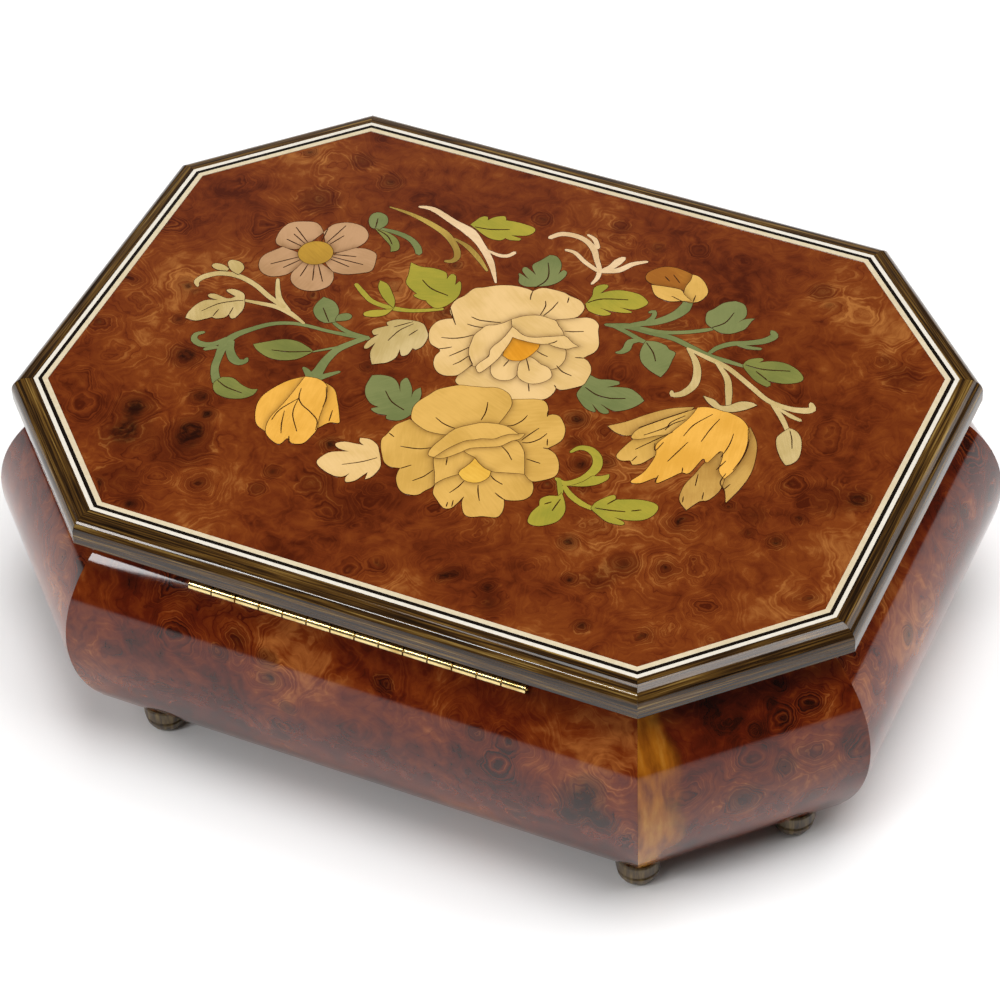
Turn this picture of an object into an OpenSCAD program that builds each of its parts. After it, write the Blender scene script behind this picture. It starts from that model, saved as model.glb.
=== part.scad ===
// Octagonal inlaid jewellery box with a cylinder musical movement.
// +Z is up, the feet stand on z = 0, the front is at -Y and the hinge at +Y.

/* [Case] */
// Half length of the octagon at the outer edge of the stringing
half_len = 120; // [110:0.5:126]
// Half depth of the same octagon
half_dep = 88.7; // [84:0.1:94]
// How far each corner is cut back along the sides
corner_cut = 39.8; // [37:0.1:42]
// Height of the lid's top above the table
top_z = 81; // [80:0.5:84]
// Height of the walls' top rim
rim_z = 66; // [65:0.5:66.5]
// Furthest that the walls bulge beyond the octagon
bulge = 13.3; // [12.5:0.1:14]
// Height of the widest place of the walls
bulge_z = 37.5; // [36:0.5:39]
// Radius of the bulge above that height
bulge_up_r = 38; // [37.5:0.5:42]
// Radius of the bulge below that height
bulge_low_r = 48; // [44:1:56]
// Distance from the octagon in to the walls' inner faces
wall_in = 9.5; // [9:0.5:11]
// Height of the turned feet
foot_h = 9; // [8.5:0.5:10]

/* [Lid] */
// Distance that the moulding stands beyond the octagon
mould_out = 6.3; // [5.5:0.1:6.5]
// Height of the moulding
mould_h = 8.4; // [8:0.1:9]
// Radius of the moulding's rounded upper edge
mould_r = 5; // [3:0.1:5]
// Width of the outer pale stringing
string_outer = 1.15; // [0.8:0.05:1.4]
// Width of the black stringing
string_black = 1.1; // [0.8:0.05:1.4]
// Width of the inner pale stringing
string_inner = 1.45; // [1:0.05:1.6]

/* [Hinge] */
// Length of the piano hinge
hinge_len = 100; // [80:5:140]
// Number of knuckles
knuckles = 14; // [8:2:18]
// Radius of the barrel
barrel_r = 1.6; // [1.4:0.1:1.7]

/* [Interior] */
// Place of the partition's middle along X
partition_x = -26; // [-27:0.5:-24]
// Number of ring rolls
rolls = 3; // [3]
// Radius of one ring roll
roll_r = 7; // [6:0.5:7]

/* [Movement] */
// Radius of the pinned cylinder
cyl_r = 8; // [7:0.5:8]
// Length of the pinned cylinder
cyl_len = 44; // [40:1:44]
// Number of comb teeth
comb_teeth = 36; // [18:1:36]

/* [Hidden] */
fine = 96;            // facets of a drawn circle
small = 32;           // facets of a small circle
far = 60;             // longer than any reach of a section
skin = 0.9;           // thickness of veneer and stringing
lid_gap = 0.3;        // closed gap between rim and lid
lid_low = top_z - mould_h;
skirt_z = rim_z + lid_gap;
string_all = string_outer + string_black + string_inner;
skirt_out = 0.3;      // outer face of the lid's skirt beyond the octagon
skirt_in = 9.3;
lining_z = 70;        // underside of the lid's padded lining

hinge_off = 2.1;      // hinge axis beyond the octagon
hinge_y = half_dep + hinge_off;
hinge_z = rim_z + lid_gap / 2;
leaf_t = 0.8;
leaf_in = 6.5;
leaf_edge = 0.2;      // outer edge of a leaf where the other leaf's knuckles are
leaf_tab = 1.0;       // how far a tab reaches into its own knuckle
hinge_pin_r = 0.6;
knuckle_bore = 0.65;
knuckle_gap = 0.45;   // daylight between neighbouring knuckles
pitch_knuckle = hinge_len / knuckles;
relief = 0.3;         // room around the barrel in the wood
hinge_screws = 6;
head_r = 1.5;
shank_r = 0.8;
shank_down = 7;       // shank of a screw into the wall
shank_up = 5;         // shank of a screw into the lid

base_z = foot_h + 0.6;
base_t = 5;
floor_z = base_z + base_t;
partition_t = 4;
partition_top = 62;
velvet = 1.2;
velvet_top = 63;
floor_t = 3.6;        // floor board with its velvet
well_z = floor_z + floor_t;
platform_z = 40;
divider_x = 25.2;
divider_t = 2.4;
divider_top = 54;
roll_pitch = 15.4;
roll_x0 = -14.9;
roll_gap = 0.3;
well_half = half_dep - wall_in - velvet - 0.2;  // half the width between the velvet of front and back
roll_half = well_half - 0.8;
window_z = 58;
window_t = 2;
ledge_t = 3;
ledge_w = 4;

foot_r = 6.2;
foot_flat_r = 3.8;
foot_groove_r = 5.6;
spigot_r = 2.2;
spigot_h = 6;
foot_in = 1.3;        // feet stand this far inside the octagon
foot_shift = [0, 0, 0, 0, 14, 0, -9, 0];  // two back feet are set in from their corners

bed_z = floor_z;
bed_t = 3;
deck = bed_z + bed_t;
bed_x0 = -98;
bed_x1 = -31;
bed_y0 = -55;
bed_y1 = 51;
bed_screw_r = 1.5;
bed_head_r = 2.7;
key_hole_r = 6;       // hole in the base that the key's collar goes through
cyl_x = -66;          // cylinder axis, which also crosses the barrel's axis
barrel_y = -34;
drum_r = 18;
drum_z = deck + 0.8;
drum_h = 11.4;
drum_wall = 1;
cover_t = 0.9;
arbor_r = 2;
arbor_z = 4;          // lower end of the winding arbor, inside the key
key_z = 3;            // underside of the key, clear of the table
key_wing = 3.2;       // radius of the key's wings
key_t = 2.2;
fit = 0.05;           // radial clearance of a running fit

m_drive = 0.6;        // module of the crown teeth and their pinion
crown_teeth = 54;
pinion_teeth = 16;
crown_r = m_drive * crown_teeth / 2;
crown_w = 2;
crown_z = drum_z + drum_h + cover_t;
cyl_z = crown_z + 1.25 * m_drive + m_drive * pinion_teeth / 2;
shaft_r = 1;
cyl_y0 = -11;
pinion_y = barrel_y + crown_r;
bracket_t = 2;
bracket_y = [cyl_y0 - 1.5 - bracket_t, cyl_y0 + cyl_len + 5];

m_train = 0.5;        // module of the cylinder wheel and the governor's pinion
wheel_teeth = 44;
gov_teeth = 10;
wheel_t = 2;
wheel_y = cyl_y0 + cyl_len + 1;
gov_x = cyl_x - m_train * (wheel_teeth + gov_teeth) / 2;
worm_teeth = 30;
worm_r = 6;           // pitch radius of the worm wheel
worm_pitch = 2 * PI * worm_r / worm_teeth;
worm_wheel_t = 1;
worm_y = wheel_y + 7;
screw_r = 1.4;        // mean radius of the endless screw
screw_e = 0.4;        // how far its thread swings either side of that
screw_turns = 6;
fly_x = gov_x - worm_r - screw_r;
fly_shaft = 0.5;
fly_z0 = 25;
fly_z1 = 53;
hub_z = 43.4;
fan_z = 46;
fan_r = 4.5;
post_x = fly_x - 8.2;
arm_t = 1.6;

pin_r = 1.2;
pin_x = -94;
pin_y = 46.6;
pin_top = lining_z - 0.2;
lever_x = -79;
lever_z = 24;
pin_low = lever_z + 1.3;  // the pin rests on the lever's arm
lever_y = 45.2;
lever_t = 2.4;

comb_tip = cyl_x + cyl_r + 0.5;
comb_t = 1;
comb_long = 16;
comb_short = 11;
comb_back = -33;
comb_seat = 8;
comb_slot = 0.35;
comb_screw_r = 1.2;

SIDES = ["front", "front_right", "right", "back_right", "back", "back_left", "left", "front_left"];
HINGE_SIDE = 4;
LONG_SIDES = [0, 2, 4, 6];
CORNERS = [1, 3, 5, 7];

burl = "#7a3716";
dark_wood = "#33251a";
pale_wood = "#e4d3b4";
plain_wood = "#b98a55";
felt = "#7c1420";
brass = "#c9a24a";
steel = "#b9bcc0";
blued = "#5a5f68";

// ---- octagon ----

// The octagon's corners at an offset, from the front side's left end, anticlockwise.
function oct(off) =
  let (a = half_len + off, b = half_dep + off, c = corner_cut + off * (2 - sqrt(2)))
  [[c - a, -b], [a - c, -b], [a, c - b], [a, b - c], [a - c, b], [c - a, b], [-a, b - c], [-a, c - b]];

function side_angle(i) = -90 + 45 * i;

function side_distance(i) =
  i % 2 == 1 ? (half_len + half_dep - corner_cut) / sqrt(2)
  : i % 4 == 0 ? half_dep : half_len;

module octagon_plate(off, z0, z1)
  translate([0, 0, z0]) linear_extrude(z1 - z0) polygon(oct(off));

module octagon_ring(off_out, off_in, z0, z1)
  translate([0, 0, z0]) linear_extrude(z1 - z0)
    difference() {
      polygon(oct(off_out));
      polygon(oct(off_in));
    }

// A section drawn as (offset, height) runs along side i and is mitred at both ends.
module mitred_side(i, inner, outer) {
  j = (i + 1) % 8;
  intersection() {
    rotate([0, 0, side_angle(i)])
      translate([side_distance(i), 0, 0])
        rotate([90, 0, 0])
          linear_extrude(2 * half_len, center = true) children();
    linear_extrude(top_z + 1)
      polygon([oct(inner)[i], oct(inner)[j], oct(outer)[j], oct(outer)[i]]);
  }
}

// ---- case ----

module wall_section()
  intersection() {
    union() {
      intersection() {
        translate([bulge - bulge_up_r, bulge_z]) circle(bulge_up_r, $fn = fine);
        translate([-wall_in, bulge_z]) square([far, far]);
      }
      intersection() {
        translate([bulge - bulge_low_r, bulge_z]) circle(bulge_low_r, $fn = fine);
        translate([-wall_in, bulge_z - far]) square([far, far]);
      }
    }
    translate([-wall_in, foot_h]) square([far, rim_z - foot_h]);
  }

module wall(i)
  color(burl) difference() {
    mitred_side(i, -2 * wall_in, 2 * bulge) wall_section();
    for (k = [i, (i + 1) % 8])
      foot_place(k) cylinder(h = foot_h + spigot_h, r = spigot_r, $fn = small);
    if (i == HINGE_SIDE) {
      leaf_plate(rim_z - leaf_t, leaf_t + 1, leaf_tab);
      barrel_room();
      hinge_screw_places() screw_blank(rim_z - leaf_t);
    }
  }

// Foot k stands at corner k, moved along the next wall, or the one before if the shift is negative.
function foot_point(k) =
  let (p = oct(-foot_in), q = p[(k + (foot_shift[k] < 0 ? 7 : 1)) % 8])
  p[k] + abs(foot_shift[k]) * (q - p[k]) / norm(q - p[k]);

module foot_place(k)
  translate([foot_point(k)[0], foot_point(k)[1], 0]) children();

module foot()
  color(dark_wood) {
    rotate_extrude($fn = fine)
      polygon([[0, 0], [foot_flat_r, 0], [foot_r - 1.2, 1], [foot_r - 0.5, 2.3], [foot_r - 0.2, 3.8],
        [foot_groove_r, 4.3], [foot_groove_r, 4.6], [foot_r, 5.1], [foot_r, 8.5], [foot_r - 0.4, foot_h],
        [0, foot_h]]);
    cylinder(h = foot_h + spigot_h, r = spigot_r, $fn = small);
  }

module feet(first)
  for (k = [0:3]) foot_place((first + k) % 8) foot();

module base_panel()
  color(plain_wood) difference() {
    octagon_plate(-wall_in, base_z, floor_z);
    translate([cyl_x, barrel_y, 0]) cylinder(h = floor_z + 1, r = key_hole_r, $fn = fine);
    bed_screw_places() cylinder(h = floor_z + 1, r = bed_screw_r, $fn = small);
  }

// ---- interior ----

module partition()
  color(plain_wood)
    translate([partition_x - partition_t / 2, wall_in - half_dep, floor_z])
      cube([partition_t, 2 * (half_dep - wall_in), partition_top - floor_z]);

module right_of_partition(off, gap)
  intersection() {
    polygon(oct(off));
    translate([partition_x + partition_t / 2 + gap, -half_dep])
      square([2 * half_len, 2 * half_dep]);
  }

module left_of_partition(off, gap)
  intersection() {
    polygon(oct(off));
    translate([partition_x - partition_t / 2 - gap - 2 * half_len, -half_dep])
      square([2 * half_len, 2 * half_dep]);
  }

module velvet_lining()
  color(felt) translate([0, 0, floor_z]) linear_extrude(velvet_top - floor_z)
    difference() {
      right_of_partition(-wall_in, 0);
      right_of_partition(-wall_in - velvet, velvet);
    }

module velvet_floor()
  color(felt) translate([0, 0, floor_z])
    linear_extrude(floor_t) right_of_partition(-wall_in - velvet, velvet);

module ring_platform() {
  x0 = partition_x + partition_t / 2 + velvet;
  color(felt) translate([x0, -well_half, well_z])
    cube([divider_x - divider_t / 2 - x0, 2 * well_half, platform_z - well_z]);
}

module ring_divider()
  color(felt) translate([divider_x - divider_t / 2, -well_half, well_z])
    cube([divider_t, 2 * well_half, divider_top - well_z]);

module ring_roll(i)
  color(felt)
    translate([roll_x0 + (i - 1) * roll_pitch, roll_half, platform_z + roll_gap + roll_r])
      rotate([90, 0, 0]) cylinder(h = 2 * roll_half, r = roll_r, $fn = fine);

module window_ledge()
  color(plain_wood) translate([0, 0, window_z - ledge_t]) linear_extrude(ledge_t)
    difference() {
      left_of_partition(-wall_in, 0);
      left_of_partition(-wall_in - ledge_w, ledge_w);
    }

module window()
  color([0.8, 0.9, 0.95, 0.3]) difference() {
    translate([0, 0, window_z]) linear_extrude(window_t) left_of_partition(-wall_in - 0.3, 0.3);
    translate([pin_x, pin_y, 0]) cylinder(h = top_z, r = pin_r + 0.4, $fn = small);
  }

// ---- hinge ----

module leaf_plate(z, t, edge = leaf_edge)
  translate([-hinge_len / 2, half_dep - leaf_in, z]) cube([hinge_len, leaf_in + edge, t]);

module barrel_room()
  translate([-hinge_len / 2 - relief, hinge_y, hinge_z])
    rotate([0, 90, 0]) cylinder(h = hinge_len + 2 * relief, r = barrel_r + relief, $fn = fine);

// Knuckles alternate between the two leaves, starting with the body's. The children are its screws.
module leaf(first, z) {
  color(brass) difference() {
    union() {
      leaf_plate(z, leaf_t);
      for (k = [first:2:knuckles - 1]) {
        translate([k * pitch_knuckle - hinge_len / 2 + knuckle_gap / 2, half_dep, z])
          cube([pitch_knuckle - knuckle_gap, leaf_tab, leaf_t]);
        translate([k * pitch_knuckle - hinge_len / 2 + knuckle_gap / 2, hinge_y, hinge_z])
          rotate([0, 90, 0]) cylinder(h = pitch_knuckle - knuckle_gap, r = barrel_r, $fn = small);
      }
    }
    translate([-half_len, hinge_y, hinge_z])
      rotate([0, 90, 0]) cylinder(h = 2 * half_len, r = knuckle_bore, $fn = small);
    hinge_screw_places() children();
  }
}

module hinge_body_leaf() leaf(0, rim_z - leaf_t) screw_blank(rim_z - leaf_t);

module hinge_lid_leaf() leaf(1, skirt_z) screw_blank_up(skirt_z);

module hinge_pin()
  color(brass) translate([-hinge_len / 2, hinge_y, hinge_z])
    rotate([0, 90, 0]) cylinder(h = hinge_len, r = hinge_pin_r, $fn = small);

module hinge_screw_places()
  for (k = [0:hinge_screws - 1])
    translate([(k + 0.5 - hinge_screws / 2) * hinge_len / hinge_screws, half_dep - leaf_in / 2 - 0.4, 0])
      children();

// A wood screw's whole outline: a flat head level with the leaf and a shank going down from it.
module screw_blank(z) {
  translate([0, 0, z]) cylinder(h = leaf_t, r1 = shank_r, r2 = head_r, $fn = small);
  translate([0, 0, z - shank_down]) cylinder(h = shank_down, r = shank_r, $fn = small);
}

module screw_blank_up(z) {
  translate([0, 0, z]) cylinder(h = leaf_t, r1 = head_r, r2 = shank_r, $fn = small);
  translate([0, 0, z + leaf_t]) cylinder(h = shank_up, r = shank_r, $fn = small);
}

module hinge_body_screws() color(brass) hinge_screw_places() screw_blank(rim_z - leaf_t);

module hinge_lid_screws() color(brass) hinge_screw_places() screw_blank_up(skirt_z);

// ---- lid ----

module lid_board() color(plain_wood) octagon_plate(0, lid_low, top_z - skin);

module lid_veneer() color(burl) octagon_plate(-string_all, top_z - skin, top_z);

module stringing(off_out, off_in) octagon_ring(off_out, off_in, top_z - skin, top_z);

module moulding_section()
  union() {
    intersection() {
      translate([mould_out - mould_r, top_z - mould_r]) circle(mould_r, $fn = fine);
      translate([mould_out - mould_r, top_z - mould_r]) square(mould_r);
    }
    translate([0, lid_low]) square([mould_out, mould_h - mould_r]);
    translate([0, lid_low]) square([mould_out - mould_r, mould_h]);
  }

module moulding(i) color(dark_wood) mitred_side(i, 0, 2 * mould_out) moulding_section();

module lid_skirt()
  color(dark_wood) difference() {
    for (i = [0:7]) mitred_side(i, -skirt_in, 2)
      translate([-skirt_in, skirt_z]) square([skirt_in + skirt_out, lid_low - skirt_z]);
    leaf_plate(skirt_z - 1, leaf_t + 1, leaf_tab);
    barrel_room();
    hinge_screw_places() screw_blank_up(skirt_z);
  }

module lid_lining() color(felt) octagon_plate(-skirt_in - 0.2, lining_z, lid_low);

// ---- gears ----

function inv(a) = tan(a) * 180 / PI - a;

// Outline of an involute gear with thinned teeth, the first tooth along +X.
function gear_points(teeth, m, slack) =
  let (rp = m * teeth / 2, rb = rp * cos(20), root = rp - 1.25 * m, tip = rp + m,
    half = 90 / teeth - slack * 90 / PI / rp,
    radii = [for (k = [0:4]) max(root, rb * 0.995) + (tip - max(root, rb * 0.995)) * k / 4],
    flank = [for (r = radii) half + inv(20) - inv(acos(min(1, rb / r)))])
  [for (t = [0:teeth - 1]) let (a = 360 * t / teeth)
    each concat(
      [[root * cos(a - flank[0]), root * sin(a - flank[0])]],
      [for (k = [0:4]) [radii[k] * cos(a - flank[k]), radii[k] * sin(a - flank[k])]],
      [for (k = [4:-1:0]) [radii[k] * cos(a + flank[k]), radii[k] * sin(a + flank[k])]],
      [[root * cos(a + flank[0]), root * sin(a + flank[0])]])];

// A flat outline in X and Z, given a thickness along Y.
module along_y(y, t) translate([0, y + t, 0]) rotate([90, 0, 0]) linear_extrude(t) children();

module crown_ring()
  for (k = [0:crown_teeth - 1])
    rotate([0, 0, 90 + (k + 0.5) * 360 / crown_teeth])
      translate([crown_r - crown_w / 2, 0, crown_z - 0.1]) rotate([90, 0, 90]) linear_extrude(crown_w)
        crown_tooth();

module crown_tooth() {
  half = PI * m_drive / 4 - 0.08;
  lean = tan(20);
  polygon([[-half - lean * 0.7 * m_drive, 0], [half + lean * 0.7 * m_drive, 0],
    [half - lean * m_drive, 2.25 * m_drive + 0.1], [lean * m_drive - half, 2.25 * m_drive + 0.1]]);
}

// ---- movement ----

module bed_screw_places()
  for (x = [bed_x0 + 5, bed_x1 - 4], y = [bed_y0 + 6, bed_y1 - 4]) translate([x, y, 0]) children();

module bedplate()
  color(brass) difference() {
    translate([bed_x0, bed_y0, bed_z]) cube([bed_x1 - bed_x0, bed_y1 - bed_y0, bed_t]);
    translate([cyl_x, barrel_y, 0]) cylinder(h = deck + 1, r = arbor_r + fit, $fn = small);
    bed_screw_places() cylinder(h = deck + 1, r = bed_screw_r, $fn = small);
  }

module bedplate_screws()
  color(steel) bed_screw_places() {
    translate([0, 0, base_z]) cylinder(h = deck - base_z, r = bed_screw_r, $fn = small);
    difference() {
      translate([0, 0, deck]) cylinder(h = 1.6, r = bed_head_r, $fn = small);
      translate([-3, -0.35, deck + 0.9]) cube([6, 0.7, 1]);
    }
  }

module spring_barrel()
  color(brass) translate([cyl_x, barrel_y, drum_z]) difference() {
    cylinder(h = drum_h, r = drum_r, $fn = fine);
    translate([0, 0, drum_wall]) cylinder(h = drum_h, r = drum_r - drum_wall, $fn = fine);
    translate([0, 0, -1]) cylinder(h = drum_h, r = arbor_r + fit, $fn = small);
  }

module barrel_cover()
  color(brass) union() {
    translate([cyl_x, barrel_y, 0]) difference() {
      translate([0, 0, crown_z - cover_t]) cylinder(h = cover_t, r = drum_r, $fn = fine);
      cylinder(h = top_z, r = arbor_r + fit, $fn = small);
    }
    translate([cyl_x, barrel_y, 0]) crown_ring();
  }

// A flat spiral ribbon between the arbor and the drum's wall.
module mainspring() {
  turns = 8;
  steps = turns * 20;
  t = 0.35;
  r0 = arbor_r + 0.4;
  r1 = drum_r - drum_wall - 0.6;
  function at(k, side) = let (a = 360 * turns * k / steps, r = r0 + (r1 - r0) * k / steps + side * t)
    [r * cos(a), r * sin(a)];
  color(blued) translate([cyl_x, barrel_y, drum_z + drum_wall + 0.4])
    linear_extrude(drum_h - drum_wall - 0.8) polygon(concat([for (k = [0:steps]) at(k, 0)], [for (k = [steps:-1:0]) at(k, 1)]));
}

module winding_arbor()
  color(steel) translate([cyl_x, barrel_y, arbor_z])
    cylinder(h = crown_z + 0.5 - arbor_z, r = arbor_r, $fn = small);

module winding_key()
  color(brass) translate([cyl_x, barrel_y, 0]) difference() {
    union() {
      translate([0, 0, key_z]) cylinder(h = 6.4, r = 3.4, $fn = small);
      for (s = [-1, 1]) {
        translate([s * 9, key_t / 2, key_z + 1.4])
          rotate([90, 0, 0]) cylinder(h = key_t, r = key_wing, $fn = small);
        translate([s * 5 - 4, -key_t / 2, key_z]) cube([8, key_t, 3]);
      }
    }
    translate([0, 0, arbor_z]) cylinder(h = 10, r = arbor_r, $fn = small);
  }

module cylinder_body()
  color(brass) along_y(cyl_y0, cyl_len) translate([cyl_x, cyl_z]) difference() {
    circle(cyl_r, $fn = fine);
    circle(shaft_r, $fn = small);
  }

module cylinder_arbor()
  color(steel) {
    along_y(pinion_y - crown_w / 2 - 0.6, bracket_y[1] - pinion_y + crown_w / 2 + bracket_t + 1.2)
      translate([cyl_x, cyl_z]) circle(shaft_r, $fn = small);
    along_y(pinion_y - crown_w / 2 - 0.1, crown_w + 0.2)
      translate([cyl_x, cyl_z]) polygon(gear_points(pinion_teeth, m_drive, 0.08));
  }

module cylinder_wheel()
  color(brass) along_y(wheel_y, wheel_t) translate([cyl_x, cyl_z]) difference() {
    polygon(gear_points(wheel_teeth, m_train, 0.06));
    circle(shaft_r, $fn = small);
    for (a = [0:60:300]) rotate(a) translate([6.2, 0]) circle(2, $fn = small);
  }

module cylinder_brackets()
  color(brass) for (y = bracket_y)
    along_y(y, bracket_t) difference() {
      union() {
        translate([cyl_x - 3.5, deck]) square([7, cyl_z - deck]);
        translate([cyl_x, cyl_z]) circle(3.5, $fn = small);
        translate([cyl_x - 6, deck]) square([12, 2]);
      }
      translate([cyl_x, cyl_z]) circle(shaft_r + fit, $fn = small);
    }

module comb_base()
  color(brass) translate([comb_back - comb_seat, cyl_y0 - 1, deck]) difference() {
    cube([comb_seat, cyl_len + 2, cyl_z - comb_t / 2 - deck]);
    for (k = [0:2]) translate([comb_seat / 2, 5 + k * (cyl_len - 8) / 2, cyl_z - comb_t / 2 - deck - 6])
      cylinder(h = 7, r = comb_screw_r, $fn = small);
  }

module comb()
  color(steel) difference() {
    translate([comb_tip, cyl_y0 - 0.5, cyl_z - comb_t / 2])
      cube([comb_back - comb_tip, cyl_len + 1, comb_t]);
    for (k = [0:comb_teeth])
      translate([comb_tip - 1, cyl_y0 + k * cyl_len / comb_teeth - comb_slot / 2, cyl_z - comb_t])
        cube([1 + comb_long - (comb_long - comb_short) * k / comb_teeth, comb_slot, 2 * comb_t]);
    comb_screw_places() cylinder(h = 20, r = comb_screw_r, center = true, $fn = small);
  }

module comb_screw_places()
  for (k = [0:2])
    translate([comb_back - comb_seat / 2, cyl_y0 + 4 + k * (cyl_len - 8) / 2, cyl_z + comb_t / 2])
      children();

module comb_screws()
  color(blued) comb_screw_places() {
    translate([0, 0, -comb_t - 6]) cylinder(h = comb_t + 6, r = comb_screw_r, $fn = small);
    difference() {
      cylinder(h = 1.5, r = 2.4, $fn = small);
      translate([-3, -0.3, 0.8]) cube([6, 0.6, 1]);
    }
  }

module governor_wheel()
  color(brass) {
    along_y(wheel_y - 0.2, wheel_t + 0.4) translate([gov_x, cyl_z]) rotate(180 / gov_teeth)
      polygon(gear_points(gov_teeth, m_train, 0.06));
    along_y(wheel_y - 0.8, worm_y + 4.6 - wheel_y) translate([gov_x, cyl_z]) circle(0.8, $fn = small);
    along_y(worm_y - worm_wheel_t / 2, worm_wheel_t) translate([gov_x, cyl_z]) union() {
      circle(5.5, $fn = fine);
      for (k = [0:worm_teeth - 1]) rotate(k * 360 / worm_teeth)
        polygon([[5.3, -0.42], [6.25, -0.08], [6.25, 0.08], [5.3, 0.42]]);
    }
  }

// The endless screw is an off-centre disc that turns as it rises, so its thread is one smooth wave.
module fly()
  color(steel) translate([fly_x, worm_y, 0]) {
    h = screw_turns * worm_pitch;
    translate([0, 0, cyl_z - h / 2]) rotate(180 - 360 * screw_turns / 2)
      linear_extrude(h, twist = -360 * screw_turns, slices = screw_turns * 12)
        translate([screw_e, 0]) circle(screw_r, $fn = 20);
    translate([0, 0, fly_z0]) cylinder(h = fly_z1 - fly_z0, r = fly_shaft, $fn = small);
    translate([0, 0, hub_z]) cylinder(h = 2, r = 1.6, $fn = small);
    translate([-fan_r, -0.2, fan_z]) cube([2 * fan_r, 0.4, 5]);
  }

module governor_frame()
  color(brass) difference() {
    union() {
      translate([post_x - 2.4, worm_y - 3, deck]) cube([2.4, 6, fly_z1 + arm_t - 1 - deck]);
      for (z = [fly_z0 - 1, fly_z1 - 1])
        translate([post_x - 2.4, worm_y - 1.6, z]) cube([fly_x + 1.6 - post_x + 2.4, 3.2, arm_t]);
      translate([pin_x - 2.6, worm_y + 2.4, fly_z1 - 1]) cube([5.2, pin_y + 2.4 - worm_y - 2.4, arm_t]);
      for (y = [worm_y - 4.4, worm_y + 2.2])
        translate([gov_x - 3, y, deck]) cube([6, 1.4, cyl_z + 3 - deck]);
    }
    translate([fly_x, worm_y, fly_z0]) cylinder(h = fly_z1, r = fly_shaft + fit, $fn = small);
    translate([pin_x, pin_y, fly_z0]) cylinder(h = fly_z1, r = pin_r + fit, $fn = small);
    along_y(worm_y - 10, 20) translate([gov_x, cyl_z]) circle(0.8 + fit, $fn = small);
  }

module stop_pin()
  color(steel) translate([pin_x, pin_y, pin_low]) cylinder(h = pin_top - pin_low, r = pin_r, $fn = small);

module lever_pivot()
  color(steel) {
    along_y(lever_y - 0.4, lever_t + 1.6) translate([lever_x, lever_z]) circle(0.9, $fn = small);
    along_y(lever_y + lever_t + 0.2, 1.2)
      difference() {
        translate([lever_x - 2.4, deck]) square([4.8, lever_z + 2.4 - deck]);
        translate([lever_x, lever_z]) circle(0.9, $fn = small);
      }
  }

module stop_lever()
  color(steel) {
    along_y(lever_y, lever_t) difference() {
      union() {
        translate([lever_x, lever_z]) circle(2, $fn = small);
        translate([pin_x - 1.6, lever_z - 1.1]) square([lever_x - pin_x + 1.6, 2.2]);
        translate([lever_x - 1, lever_z]) square([2, hub_z + 2 - lever_z]);
      }
      translate([lever_x, lever_z]) circle(0.9 + fit, $fn = small);
    }
    translate([fly_x + 1.65, worm_y - 0.6, hub_z + 0.2]) cube([lever_x + 1 - fly_x - 1.65, 1.2, 1.6]);
    translate([lever_x - 1, worm_y - 0.6, hub_z + 0.2]) cube([2, lever_y - worm_y + 0.7, 1.6]);
  }

// ---- what each node draws ----

for (i = [0:7])
  wall(i);
base_panel();
feet(7);  // feet_front
feet(3);  // feet_back
partition();
velvet_lining();
velvet_floor();
ring_platform();
ring_divider();
for (i = [1:rolls])
  ring_roll(i);
window_ledge();
window();
hinge_body_leaf();
hinge_pin();
hinge_body_screws();
bedplate();
bedplate_screws();
cylinder_brackets();
comb_base();
comb();
comb_screws();
governor_frame();
lever_pivot();
lid_board();
lid_veneer();
color(pale_wood) stringing(0, -string_outer);  // stringing_outer
color("black") stringing(-string_outer, -string_outer - string_black);  // stringing_black
color(pale_wood) stringing(-string_outer - string_black, -string_all);  // stringing_inner
for (i = LONG_SIDES)
  moulding(i);
for (i = CORNERS) moulding(i);  // moulding_corners
lid_skirt();
lid_lining();
hinge_lid_leaf();
hinge_lid_screws();
cylinder_body();  // cylinder
cylinder_arbor();
cylinder_wheel();
spring_barrel();
barrel_cover();
mainspring();
winding_arbor();
winding_key();
governor_wheel();
fly();
stop_lever();
stop_pin();
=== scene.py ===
"""Looks of the octagonal inlaid music box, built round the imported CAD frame.

Lengths are millimetres unless a comment says otherwise. The marquetry is drawn in (u, v) as it is seen from
the hinge side: u runs to the right, which is -X, and v runs away from the hinge, which is -Y.
"""
import math
import random

import bpy
import numpy as np
from mathutils import Matrix, Vector
from mathutils.geometry import delaunay_2d_cdt


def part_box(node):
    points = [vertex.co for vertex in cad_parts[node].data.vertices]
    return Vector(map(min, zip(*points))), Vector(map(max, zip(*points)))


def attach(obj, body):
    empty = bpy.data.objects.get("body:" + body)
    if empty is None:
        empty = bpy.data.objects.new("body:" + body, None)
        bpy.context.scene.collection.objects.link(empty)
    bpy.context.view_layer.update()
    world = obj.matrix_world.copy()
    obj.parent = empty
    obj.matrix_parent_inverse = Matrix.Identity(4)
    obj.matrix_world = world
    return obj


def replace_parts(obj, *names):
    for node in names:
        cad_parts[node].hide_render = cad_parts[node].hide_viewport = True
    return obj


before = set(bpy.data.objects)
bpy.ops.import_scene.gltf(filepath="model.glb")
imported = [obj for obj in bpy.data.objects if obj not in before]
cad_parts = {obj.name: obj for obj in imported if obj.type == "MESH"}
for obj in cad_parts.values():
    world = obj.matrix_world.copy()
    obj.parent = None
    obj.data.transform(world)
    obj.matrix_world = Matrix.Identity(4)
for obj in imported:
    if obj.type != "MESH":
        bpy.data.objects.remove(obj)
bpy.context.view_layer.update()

MM = 0.001
SHARP = "sharp"


# ---- sizes taken from the frame ----

def corner(node, high=True):
    """A node's highest or lowest corner, in mm."""
    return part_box(node)[1 if high else 0] / MM


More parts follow.
